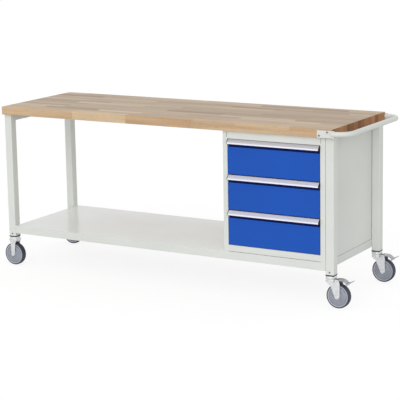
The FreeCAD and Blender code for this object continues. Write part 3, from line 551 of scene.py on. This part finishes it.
def finish_of(node):
    """The finish of a node's slot, with a darker one for the pedals."""
    return pedal_zinc if node in PEDALS else FINISH_OF_SLOT[slot_of_node[node]]


def stand_for(piece, node):
    """Let a piece take a solid's place on its body, and hide the solid."""
    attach(piece, body_of_node[node])
    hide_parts(node)


print("slots with a finish:", list(FINISH_OF_SLOT))

# %% Roll the edges
FLAT_ANGLE = math.radians(0.5)
EDGE_ANGLE = math.radians(28)
SMOOTH_ANGLE = math.radians(40)
JOIN_DISTANCE = 0.001 * MILLIMETRE
ROLL_SEGMENTS = 2
ROUND_PROFILE = 0.5


def smooth(piece):
    """Shade a piece smoothly, except across its sharp edges."""
    for face in piece.data.polygons:
        face.use_smooth = True
    piece.data.set_sharp_from_angle(angle=SMOOTH_ANGLE)


def roll_edges(node, radius):
    """A copy of a solid with its sharp edges rolled over."""
    mesh = bmesh.new()
    mesh.from_mesh(solids[node].data)
    bmesh.ops.remove_doubles(mesh, verts=mesh.verts, dist=JOIN_DISTANCE)
    bmesh.ops.dissolve_limit(mesh, angle_limit=FLAT_ANGLE, verts=mesh.verts, edges=mesh.edges)
    sharp = [edge for edge in mesh.edges if edge.is_manifold and edge.calc_face_angle(0.0) > EDGE_ANGLE]
    wear = mesh.faces.layers.float.new("edge_wear")
    made = bmesh.ops.bevel(mesh, geom=sharp, offset=radius, segments=ROLL_SEGMENTS, profile=ROUND_PROFILE,
                           affect="EDGES", clamp_overlap=True)
    for face in made["faces"]:
        face[wear] = 1.0
    piece = new_piece(node + ".rolled", mesh, [finish_of(node)])
    smooth(piece)
    return piece


def evaluated_meshes(pieces):
    """The meshes of pieces after their modifiers, as data of their own."""
    bpy.context.view_layer.update()
    graph = bpy.context.evaluated_depsgraph_get()
    return [bpy.data.meshes.new_from_object(piece.evaluated_get(graph), depsgraph=graph)
            for piece in pieces]


def flatten_shading(pieces):
    """Bake normals in which large faces outweigh the small ones beside them."""
    for piece in pieces:
        piece.modifiers.new("large_faces_rule", "WEIGHTED_NORMAL").keep_sharp = True
    for piece, data in zip(pieces, evaluated_meshes(pieces)):
        piece.modifiers.clear()
        piece.data = data


# Each radius is followed by the nodes whose edges it rolls.
ROLLED = {
    0.5 * MILLIMETRE: LEGS + BOXES + ["handle_plates"],
    1.5 * MILLIMETRE: BARS,
    0.6 * MILLIMETRE: SHEETS + FRONTS,
    0.7 * MILLIMETRE: GRIPS + CAPS,
    1.2 * MILLIMETRE: FORKS + PEDALS + ["leg_plugs"],
}
rolled = {node: roll_edges(node, radius) for radius, names in ROLLED.items() for node in names}
flatten_shading(rolled.values())
for node, piece in rolled.items():
    stand_for(piece, node)
print("rolled pieces:", len(rolled), "faces:", sum(len(piece.data.polygons) for piece in rolled.values()))

# %% [markdown]
# ### Faces with painted shade and painted light
# Below each grip strip the drawer front steps back to let fingers in. Its faces there take a far darker blue:
# painted shade for the shadow below the grip's lip. A dark panel laid over it would be one more piece to fit,
# so the faces of the front's own mesh take a second finish there. So does the grip's slope, a darker
# aluminium as painted shade, and so does the shelf's top: wiped to a brighter gloss than its edges, and
# painted paler as painted light.

# %% Paint shade into the recesses and the slopes, and light onto the shelf's top
RECESS_TALL = 14 * MILLIMETRE
RECESS_STEP = 2 * MILLIMETRE
SLOPE_UPWARD = 0.3
LEVEL_UPWARD = 0.9
SECOND_FINISH = 1


def paint_recess_shade(node):
    """Give the far darker recess coat, as painted shade, to the faces of a drawer front that step back below
    its top.
    """
    piece = rolled[node]
    low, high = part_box(node)
    piece.data.materials.append(recess_shade_paint)
    count = 0
    for face in piece.data.polygons:
        spot = face.center
        if spot.y > low.y + RECESS_STEP and spot.z > high.z - RECESS_TALL - RECESS_STEP / 2:
            face.material_index = SECOND_FINISH
            count += 1
    return count


def finish_upward(node, finish, upward, towards_front):
    """Give a second finish to the faces that look up, and for a slope also to the front."""
    piece = rolled[node]
    piece.data.materials.append(finish)
    chosen = [face for face in piece.data.polygons
              if face.normal.z > upward and (face.normal.y < 0 or not towards_front)]
    for face in chosen:
        face.material_index = SECOND_FINISH
    return len(chosen)


print("recess faces:", [paint_recess_shade(node) for node in FRONTS])
slope_faces = [finish_upward(node, slope_shade_aluminium, SLOPE_UPWARD, towards_front=True) for node in GRIPS]
print("slope faces:", slope_faces)
print("shelf top faces:", finish_upward("shelf_tray", shelf_top_light_paint, LEVEL_UPWARD, towards_front=False))

# %% [markdown]
# ## Wheels
# A caster wheel is turned about its axle, so its shape is one profile. The core has a hub, a dished disc
# with two raised rings and a rim; the tyre has a rounded crown and a shoulder line. Spinning the profile in
# code keeps the rings crisp and round, finer than the solid's.

# %% Turn the wheels
TURNS = 96
AXLE = Vector((0, 1, 0))
# Both stretches of the rim are given by their inner and outer radius in millimetres.
RIM_BEAD = (49.0, 53.2)
RIM_GROOVE = (45.9, 49.0)
# The bead's faces take a painted highlight, and the groove's faces a painted shade.
# Places of the three finishes in a core's list of materials.
DISC_FACE, BEAD_HIGHLIGHT_FACE, GROOVE_SHADE_FACE = range(3)
# Each profile is (radius, half width) in millimetres, from the axle outwards.
CORE_PROFILE = [(5.2, 19.4), (11, 19.4), (12.5, 18.6), (14.5, 15.8), (17, 14.4), (22, 13.8), (28, 13.8),
                (29.3, 14.9), (30.2, 15.1), (32.8, 15.1), (33.6, 14.8), (35, 13.9), (46, 13.8), (48.6, 14.0),
                (49.8, 15.3), (50.8, 15.5), (52.6, 15.5), (53.4, 14.6), (55.9, 14.6)]
TYRE_PROFILE = [(56.0, 14.7), (56.4, 15.6), (57.4, 16.0), (58.6, 15.9), (60.0, 15.0), (61.3, 13.2),
                (62.1, 10.6), (62.5, 7.0)]


def turn_profile(name, half, centre, finishes):
    """A half profile, mirrored across the wheel's middle and spun about Y to a closed ring."""
    loop = half + [(radius, -wide) for radius, wide in reversed(half)]
    mesh = bmesh.new()
    rings = []
    for step in range(TURNS):
        angle = 2 * math.pi * step / TURNS
        ray = Vector((math.cos(angle), 0, math.sin(angle)))
        rings.append([mesh.verts.new(centre + (ray * radius + AXLE * wide) * MILLIMETRE)
                      for radius, wide in loop])
    for step in range(TURNS):
        here, after = rings[step], rings[(step + 1) % TURNS]
        for index in range(len(loop)):
            following = (index + 1) % len(loop)
            face = mesh.faces.new((here[index], here[following], after[following], after[index]))
            radius = (loop[index][0] + loop[following][0]) / 2
            on_bead = RIM_BEAD[0] < radius < RIM_BEAD[1]
            in_groove = RIM_GROOVE[0] < radius < RIM_GROOVE[1]
            face.material_index = BEAD_HIGHLIGHT_FACE if on_bead else GROOVE_SHADE_FACE if in_groove else DISC_FACE
    bmesh.ops.recalc_face_normals(mesh, faces=mesh.faces)
    piece = new_piece(name, mesh, finishes)
    smooth(piece)
    return piece


CORE_FINISHES = [wheel_plastic, bead_highlight_plastic, groove_shade_plastic]
wheels = []
for end in ("front", "rear"):
    for side in ("left", "right"):
        low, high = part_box(f"tyre_{end}_{side}")
        middle = (low + high) / 2
        for kind, profile, finishes in (("wheel_core", CORE_PROFILE, CORE_FINISHES),
                                        ("tyre", TYRE_PROFILE, [tyre_rubber])):
            node = f"{kind}_{end}_{side}"
            wheel = turn_profile(node + ".turned", profile, middle, finishes)
            stand_for(wheel, node)
            wheels.append(wheel)
print("turned wheels:", len(wheels), "faces each:", [len(wheel.data.polygons) for wheel in wheels[:2]])

# %% [markdown]
# ## Screws
# The bracket and leg screws are pan heads with a hexagon socket. Within each of the two kinds they are alike,
# so one screw is modelled and Geometry Nodes set a copy on every point, turned to the point's own direction.
# Realised to a plain mesh, the copies replace the plain screws of the frame.

# %% Model one screw head
SCREW_SIDES = 24
SOCKET_SIDES = 6
# Outlines in shares of the head's radius and height, from the seat upwards.
PAN_HEAD = ((0.98, 0.0), (1.0, 0.25), (0.93, 0.7), (0.72, 0.95), (0.6, 1.0))
SOCKET_FLOOR = (0.44, 0.35)
SOCKET_MOUTH = (0.48, 1.0)


def screw_shape(head_radius, head_tall, shank_radius, shank_long):
    """A pan-head screw along +Z, its seat at the origin, with a hexagon socket in the head."""
    mesh = bmesh.new()

    def ring(radius, height, sides=SCREW_SIDES):
        """Vertices on a circle about the screw's axis."""
        turn = 2 * math.pi / sides
        return [mesh.verts.new((radius * math.cos(turn * step), radius * math.sin(turn * step), height))
                for step in range(sides)]

    def bridge(lower, upper):
        """Faces between two rings of as many vertices."""
        count = len(lower)
        for step in range(count):
            mesh.faces.new((lower[step], lower[(step + 1) % count], upper[(step + 1) % count], upper[step]))

    shell = [ring(shank_radius, -shank_long), ring(shank_radius, 0.0)]
    shell += [ring(head_radius * wide, head_tall * tall) for wide, tall in PAN_HEAD]
    for lower, upper in zip(shell, shell[1:]):
        bridge(lower, upper)
    mesh.faces.new(list(reversed(shell[0])))
    mouth = ring(head_radius * SOCKET_MOUTH[0], head_tall * SOCKET_MOUTH[1], SOCKET_SIDES)
    floor = ring(head_radius * SOCKET_FLOOR[0], head_tall * SOCKET_FLOOR[1], SOCKET_SIDES)
    bridge(floor, mouth)
    for face in mesh.faces[-SOCKET_SIDES:]:
        face.normal_flip()
    mesh.faces.new(floor)
    share = SCREW_SIDES // SOCKET_SIDES
    rim = shell[-1]
    for side in range(SOCKET_SIDES):
        arc = [rim[(side * share + step) % SCREW_SIDES] for step in range(share + 1)]
        mesh.faces.new(arc + [mouth[(side + 1) % SOCKET_SIDES], mouth[side]])
    bmesh.ops.recalc_face_normals(mesh, faces=mesh.faces)
    return mesh


# %% A tree that sets screws


def scatter_tree(name, pattern, finish):
    """A tree that sets a pattern object on each point, with its +Z along the point's direction."""
    tree = bpy.data.node_groups.new(name, "GeometryNodeTree")
    tree.interface.new_socket("Points", in_out="INPUT", socket_type="NodeSocketGeometry")
    size = tree.interface.new_socket("Size", in_out="INPUT", socket_type="NodeSocketFloat")
    tree.interface.new_socket("Pieces", in_out="OUTPUT", socket_type="NodeSocketGeometry")
    nodes, links = tree.nodes, tree.links
    entry = nodes.new("NodeGroupInput")
    leave = nodes.new("NodeGroupOutput")
    source = nodes.new("GeometryNodeObjectInfo")
    source.inputs["Object"].default_value = pattern
    direction = nodes.new("GeometryNodeInputNamedAttribute")
    direction.data_type = "FLOAT_VECTOR"
    direction.inputs["Name"].default_value = "direction"
    align = nodes.new("FunctionNodeAlignRotationToVector")
    align.axis = "Z"
    place = nodes.new("GeometryNodeInstanceOnPoints")
    realise = nodes.new("GeometryNodeRealizeInstances")
    paint = nodes.new("GeometryNodeSetMaterial")
    paint.inputs["Material"].default_value = finish
    links.new(direction.outputs["Attribute"], align.inputs["Vector"])
    links.new(entry.outputs["Points"], place.inputs["Points"])
    links.new(source.outputs["Geometry"], place.inputs["Instance"])
    links.new(align.outputs["Rotation"], place.inputs["Rotation"])
    links.new(entry.outputs["Size"], place.inputs["Scale"])
    links.new(place.outputs["Instances"], realise.inputs["Geometry"])
    links.new(realise.outputs["Geometry"], paint.inputs["Geometry"])
    links.new(paint.outputs["Geometry"], leave.inputs["Pieces"])
    return tree, size.identifier


# %% Set screws and bake them
SCREW_SIZE = 1.0


def bake(name, carrier):
    """The evaluated result of a carrier's nodes as a plain object."""
    data = evaluated_meshes([carrier])[0]
    data.name = name
    piece = bpy.data.objects.new(name, data)
    bpy.context.scene.collection.objects.link(piece)
    bpy.data.objects.remove(carrier)
    return piece


def set_screws(name, node, spots, shape):
    """Screws on a list of (place, direction), as one mesh that replaces a node."""
    pattern = new_piece(name + "_pattern", shape, [screw_steel])
    smooth(pattern)
    points = bpy.data.meshes.new(name + "_points")
    points.from_pydata([spot for spot, _ in spots], [], [])
    lanes = points.attributes.new("direction", "FLOAT_VECTOR", "POINT")
    for index, (_, direction) in enumerate(spots):
        lanes.data[index].vector = direction
    carrier = bpy.data.objects.new(name + "_points", points)
    bpy.context.scene.collection.objects.link(carrier)
    tree, size = scatter_tree(name + "_tree", pattern, screw_steel)
    modifier = carrier.modifiers.new("screws", "NODES")
    modifier.node_group = tree
    modifier[size] = SCREW_SIZE
    piece = bake(name, carrier)
    bpy.data.objects.remove(pattern)
    smooth(piece)
    stand_for(piece, node)
    return piece


# %% Find the screws of the frame and replace them
BRACKET_HEAD = 3.5 * MILLIMETRE
BRACKET_SHANK = 30 * MILLIMETRE
PLUG_HEAD = 1.75 * MILLIMETRE
PLUG_SHANK = 10 * MILLIMETRE
HEAD_RADIUS = 5 * MILLIMETRE
SHANK_RADIUS = 2.5 * MILLIMETRE


def islands(node):
    """The lowest and highest corner of every separate solid in a node, in the order of their places."""
    mesh = bmesh.new()
    mesh.from_mesh(solids[node].data)
    bmesh.ops.remove_doubles(mesh, verts=mesh.verts, dist=JOIN_DISTANCE)
    left = set(mesh.verts)
    boxes = []
    while left:
        stack = [left.pop()]
        found = list(stack)
        while stack:
            for edge in stack.pop().link_edges:
                for vertex in edge.verts:
                    if vertex in left:
                        left.remove(vertex)
                        stack.append(vertex)
                        found.append(vertex)
        boxes.append(tuple(Vector([pick(vertex.co[axis] for vertex in found) for axis in range(3)])
                           for pick in (min, max)))
    mesh.free()
    return sorted(boxes, key=lambda box: tuple(box[0]))


def screw_spots(node, head_tall):
    """The seat of each screw in a node, and the way its head points: away from the bench's middle."""
    spots = []
    for low, high in islands(node):
        middle = (low + high) / 2
        outward = math.copysign(1.0, middle.y)
        seat = (high.y if outward > 0 else low.y) - outward * head_tall
        spots.append((Vector((middle.x, seat, middle.z)), Vector((0, outward, 0))))
    return spots


bracket_shape = screw_shape(HEAD_RADIUS, BRACKET_HEAD, SHANK_RADIUS, BRACKET_SHANK)
bracket_screws = set_screws("bracket_screws", "handle_screws", screw_spots("handle_screws", BRACKET_HEAD),
                            bracket_shape)
plug_shape = screw_shape(HEAD_RADIUS, PLUG_HEAD, SHANK_RADIUS, PLUG_SHANK)
plug_screws = set_screws("leg_cross_screws", "leg_plug_screws", screw_spots("leg_plug_screws", PLUG_HEAD),
                         plug_shape)
print("screw faces:", len(bracket_screws.data.polygons), len(plug_screws.data.polygons))

# %% [markdown]
# ## Beads along seams
# The upper left cross bar is welded to its legs all round. Mastic seals the joints where the cabinet's sides
# stand on the shelf; its dark grey is painted shade for the shadow line along them. A painted fill closes the
# joint between the cabinet's front and the leg beside it. All of them are ropes of small ripples along a
# seam.
# Ropes modelled one by one would repeat the same work, so one tree turns any seam into a curve, and sweeps
# along it a circle whose size ripples.

# %% A tree for beads
BEAD_STEP = 1.5 * MILLIMETRE
BEAD_SIDES = 10
RIPPLE_SCALE = 350.0
RIPPLE_SHARES = (0.75, 1.25)


def bead_tree(name, finish):
    """A tree that lays a rippled rope along the edges of a mesh."""
    tree = bpy.data.node_groups.new(name, "GeometryNodeTree")
    tree.interface.new_socket("Seams", in_out="INPUT", socket_type="NodeSocketGeometry")
    radius = tree.interface.new_socket("Bead Radius", in_out="INPUT", socket_type="NodeSocketFloat")
    step = tree.interface.new_socket("Step", in_out="INPUT", socket_type="NodeSocketFloat")
    tree.interface.new_socket("Beads", in_out="OUTPUT", socket_type="NodeSocketGeometry")
    nodes, links = tree.nodes, tree.links
    entry = nodes.new("NodeGroupInput")
    leave = nodes.new("NodeGroupOutput")
    curve = nodes.new("GeometryNodeMeshToCurve")
    sample = nodes.new("GeometryNodeResampleCurve")
    sample.mode = "LENGTH"
    ripple = nodes.new("ShaderNodeTexNoise")
    ripple.inputs["Scale"].default_value = RIPPLE_SCALE
    spread = nodes.new("ShaderNodeMapRange")
    spread.inputs["To Min"].default_value = RIPPLE_SHARES[0]
    spread.inputs["To Max"].default_value = RIPPLE_SHARES[1]
    ring = nodes.new("GeometryNodeCurvePrimitiveCircle")
    ring.inputs["Resolution"].default_value = BEAD_SIDES
    sweep = nodes.new("GeometryNodeCurveToMesh")
    realise = nodes.new("GeometryNodeRealizeInstances")
    paint = nodes.new("GeometryNodeSetMaterial")
    paint.inputs["Material"].default_value = finish
    links.new(entry.outputs["Seams"], curve.inputs["Mesh"])
    links.new(curve.outputs["Curve"], sample.inputs["Curve"])
    links.new(entry.outputs["Step"], sample.inputs["Length"])
    links.new(ripple.outputs["Fac"], spread.inputs["Value"])
    links.new(entry.outputs["Bead Radius"], ring.inputs["Radius"])
    links.new(sample.outputs["Curve"], sweep.inputs["Curve"])
    links.new(ring.outputs["Curve"], sweep.inputs["Profile Curve"])
    links.new(spread.outputs["Result"], sweep.inputs["Scale"])
    links.new(sweep.outputs["Mesh"], realise.inputs["Geometry"])
    links.new(realise.outputs["Geometry"], paint.inputs["Geometry"])
    links.new(paint.outputs["Geometry"], leave.inputs["Beads"])
    return tree, radius.identifier, step.identifier


def lay_bead(name, points, edges, finish, bead_radius, slot):
    """A bead along seams given as points and edges, as one piece on the frame."""
    data = bpy.data.meshes.new(name + "_seams")
    data.from_pydata(points, edges, [])
    carrier = bpy.data.objects.new(name + "_seams", data)
    bpy.context.scene.collection.objects.link(carrier)
    tree, radius, step = bead_tree(name + "_tree", finish)
    modifier = carrier.modifiers.new("beads", "NODES")
    modifier.node_group = tree
    modifier[radius] = bead_radius
    modifier[step] = BEAD_STEP
    piece = bake(name, carrier)
    smooth(piece)
    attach(piece, "frame")
    return piece


# %% Weld the cross bar and close the cabinet's joints
WELDED_BAR = "upper_bar_left"
WELD_RADIUS = 2.2 * MILLIMETRE
SEAL_RADIUS = 1.3 * MILLIMETRE
FILL_RADIUS = 0.8 * MILLIMETRE


def bar_seams():
    """A closed loop round each end of the cross bar, where it meets its leg."""
    low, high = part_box(WELDED_BAR)
    points, edges = [], []
    for y in (low.y, high.y):
        first = len(points)
        points += [(low.x, y, low.z), (high.x, y, low.z), (high.x, y, high.z), (low.x, y, high.z)]
        edges += [(first + step, first + (step + 1) % 4) for step in range(4)]
    return points, edges


def foot_seams():
    """One line below each cabinet side, between the front and the rear leg."""
    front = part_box("leg_front_right")[1].y
    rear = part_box("leg_rear_right")[0].y
    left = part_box("cabinet_side_left")[0]
    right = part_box("cabinet_side_right")[1]
    points = [(x, y, left.z) for x in (left.x, right.x) for y in (front, rear)]
    return points, [(0, 1), (2, 3)]


def leg_seam():
    """The upright joint between the cabinet's front and the right front leg."""
    low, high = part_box("cabinet_side_right")
    x = (high.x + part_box("leg_front_right")[0].x) / 2
    y = low.y + FILL_RADIUS / 2
    return [(x, y, low.z), (x, y, high.z)], [(0, 1)]


beads = [
    lay_bead("weld_beads", *bar_seams(), grey_paint, WELD_RADIUS, "grey_paint"),
    # Painted shade: the foot seals take the dark grey mastic.
    lay_bead("foot_seals", *foot_seams(), shaded_mastic, SEAL_RADIUS, "black_plastic"),
    lay_bead("leg_fill", *leg_seam(), grey_paint, FILL_RADIUS, "grey_paint"),
]
print("bead faces:", {bead.name: len(bead.data.polygons) for bead in beads})

# %% [markdown]
# ## The rest of the solids
# Pieces whose shape is already right keep their solid and only take a finish: the handle tube, the slides,
# the sheets at the back and below, and the axle bolts.

# %% Dress the remaining solids
for node, solid in solids.items():
    solid.data.materials.clear()
    solid.data.materials.append(finish_of(node))
print("dressed:", len(solids))

# %% [markdown]
# ## Floor and light
# The photograph has a white ground and soft light from the front and above. The world and the floor are white
# to the camera and to reflections, and dimmer to all other rays, so that the bench isn't flooded with light.
# Part of the floor's white is ordinary paper under light, which keeps the bench's shadow. One broad sun from
# the front shapes the faces.

# %% Lay the floor
FLOOR_SIZE = 60.0
FLOOR_PAPER = (0.78, 0.78, 0.78)
SEEN_PAPER = (0.20, 0.20, 0.20)
SEEN_GLOW = 0.84


def seen_directly(tree):
    """1 for rays from the camera, a mirror or glass, 0 for the rays that carry soft light."""
    path = tree.nodes.new("ShaderNodeLightPath")
    result = path.outputs["Is Camera Ray"]
    for kind in ("Is Glossy Ray", "Is Transmission Ray"):
        either = tree.nodes.new("ShaderNodeMath")
        either.operation = "MAXIMUM"
        tree.links.new(result, either.inputs[0])
        tree.links.new(path.outputs[kind], either.inputs[1])
        result = either.outputs["Value"]
    return result


def floor_finish():
    """Pale paper that the camera sees as white, with the shadow kept."""
    material = bpy.data.materials.new("floor_paper")
    material.use_nodes = True
    tree = material.node_tree
    tree.nodes.clear()
    output = tree.nodes.new("ShaderNodeOutputMaterial")
    paper = tree.nodes.new("ShaderNodeBsdfDiffuse")
    paper.inputs["Color"].default_value = (*FLOOR_PAPER, 1.0)
    seen = tree.nodes.new("ShaderNodeBsdfDiffuse")
    seen.inputs["Color"].default_value = (*SEEN_PAPER, 1.0)
    glow = tree.nodes.new("ShaderNodeEmission")
    glow.inputs["Strength"].default_value = SEEN_GLOW
    both = tree.nodes.new("ShaderNodeAddShader")
    mix = tree.nodes.new("ShaderNodeMixShader")
    tree.links.new(seen.outputs["BSDF"], both.inputs[0])
    tree.links.new(glow.outputs["Emission"], both.inputs[1])
    tree.links.new(seen_directly(tree), mix.inputs["Fac"])
    tree.links.new(paper.outputs["BSDF"], mix.inputs[1])
    tree.links.new(both.outputs["Shader"], mix.inputs[2])
    tree.links.new(mix.outputs["Shader"], output.inputs["Surface"])
    return material


def add_floor():
    """A wide square of paper below the bench."""
    data = bpy.data.meshes.new("floor")
    half = FLOOR_SIZE / 2
    corners = [(-half, -half, 0), (half, -half, 0), (half, half, 0), (-half, half, 0)]
    data.from_pydata(corners, [], [(0, 1, 2, 3)])
    floor = bpy.data.objects.new("floor", data)
    bpy.context.scene.collection.objects.link(floor)
    data.materials.append(floor_finish())


add_floor()
print("floor:", FLOOR_SIZE, "m wide")

# %% Light the bench
SKY_SEEN = 1.0
SKY_LIGHT = 0.72
SUN_LIGHT = 1.38
SUN_SPREAD = math.radians(60)
SUN_FROM = Vector((0.27, -0.93, 0.28))


def sky(tree, strength):
    """A white background of the given strength."""
    background = tree.nodes.new("ShaderNodeBackground")
    background.inputs["Color"].default_value = (*WHITE, 1.0)
    background.inputs["Strength"].default_value = strength
    return background.outputs["Background"]


def set_world():
    """A sky that is white to look at and softer as a light."""
    world = bpy.data.worlds.new("studio")
    bpy.context.scene.world = world
    world.use_nodes = True
    tree = world.node_tree
    tree.nodes.clear()
    output = tree.nodes.new("ShaderNodeOutputWorld")
    mix = tree.nodes.new("ShaderNodeMixShader")
    tree.links.new(seen_directly(tree), mix.inputs["Fac"])
    tree.links.new(sky(tree, SKY_LIGHT), mix.inputs[1])
    tree.links.new(sky(tree, SKY_SEEN), mix.inputs[2])
    tree.links.new(mix.outputs["Shader"], output.inputs["Surface"])


def add_sun():
    """One broad sun from the front and a little from the right."""
    data = bpy.data.lights.new("broad_sun", "SUN")
    data.energy = SUN_LIGHT
    data.angle = SUN_SPREAD
    lamp = bpy.data.objects.new("broad_sun", data)
    lamp.rotation_euler = (-SUN_FROM).to_track_quat("-Z", "Y").to_euler()
    bpy.context.scene.collection.objects.link(lamp)


set_world()
add_sun()
print("lamps:", [light.name for light in bpy.data.lights])

# %% [markdown]
# ## Camera
# The camera was solved from edges of the photograph: a long lens, well to the right of the bench and above
# it, turned a touch about its own axis. Its place is measured from the middle of the worktop. The lens is
# lowered a touch, as on a view camera, to lean the legs less. Yaw, pitch and roll build its three axes.

# %% Place the camera
CAMERA_FROM_TOP = Vector((3.997, -6.717, 1.132))
CAMERA_YAW = math.radians(30.326)
CAMERA_PITCH = math.radians(10.637)
CAMERA_ROLL = math.radians(-1.020)
SENSOR_MILLIMETRES = 36.0
FOCAL_PIXELS = 1473.0
IMAGE_PIXELS = 400
LENS_DROP_PIXELS = 29.5


def place_camera():
    """The camera of the photograph, from its place, its three angles and its lens."""
    level_part = math.cos(CAMERA_PITCH)
    ahead = Vector((-math.sin(CAMERA_YAW) * level_part, math.cos(CAMERA_YAW) * level_part,
                    -math.sin(CAMERA_PITCH)))
    level = Vector((math.cos(CAMERA_YAW), math.sin(CAMERA_YAW), 0))
    upright = level.cross(ahead)
    right = level * math.cos(CAMERA_ROLL) + upright * math.sin(CAMERA_ROLL)
    up = upright * math.cos(CAMERA_ROLL) - level * math.sin(CAMERA_ROLL)
    turn = Matrix((right, up, -ahead)).transposed()
    data = bpy.data.cameras.new("camera")
    data.sensor_width = SENSOR_MILLIMETRES
    data.lens = FOCAL_PIXELS / IMAGE_PIXELS * SENSOR_MILLIMETRES
    data.shift_y = -LENS_DROP_PIXELS / IMAGE_PIXELS
    camera = bpy.data.objects.new("camera", data)
    low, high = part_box("worktop")
    top_middle = Vector(((low.x + high.x) / 2, (low.y + high.y) / 2, high.z))
    camera.matrix_world = Matrix.Translation(top_middle + CAMERA_FROM_TOP) @ turn.to_4x4()
    bpy.context.scene.collection.objects.link(camera)
    bpy.context.scene.camera = camera
    return camera


camera = place_camera()
bpy.context.scene.view_settings.view_transform = "Standard"
print("lens:", round(camera.data.lens, 2), "mm")
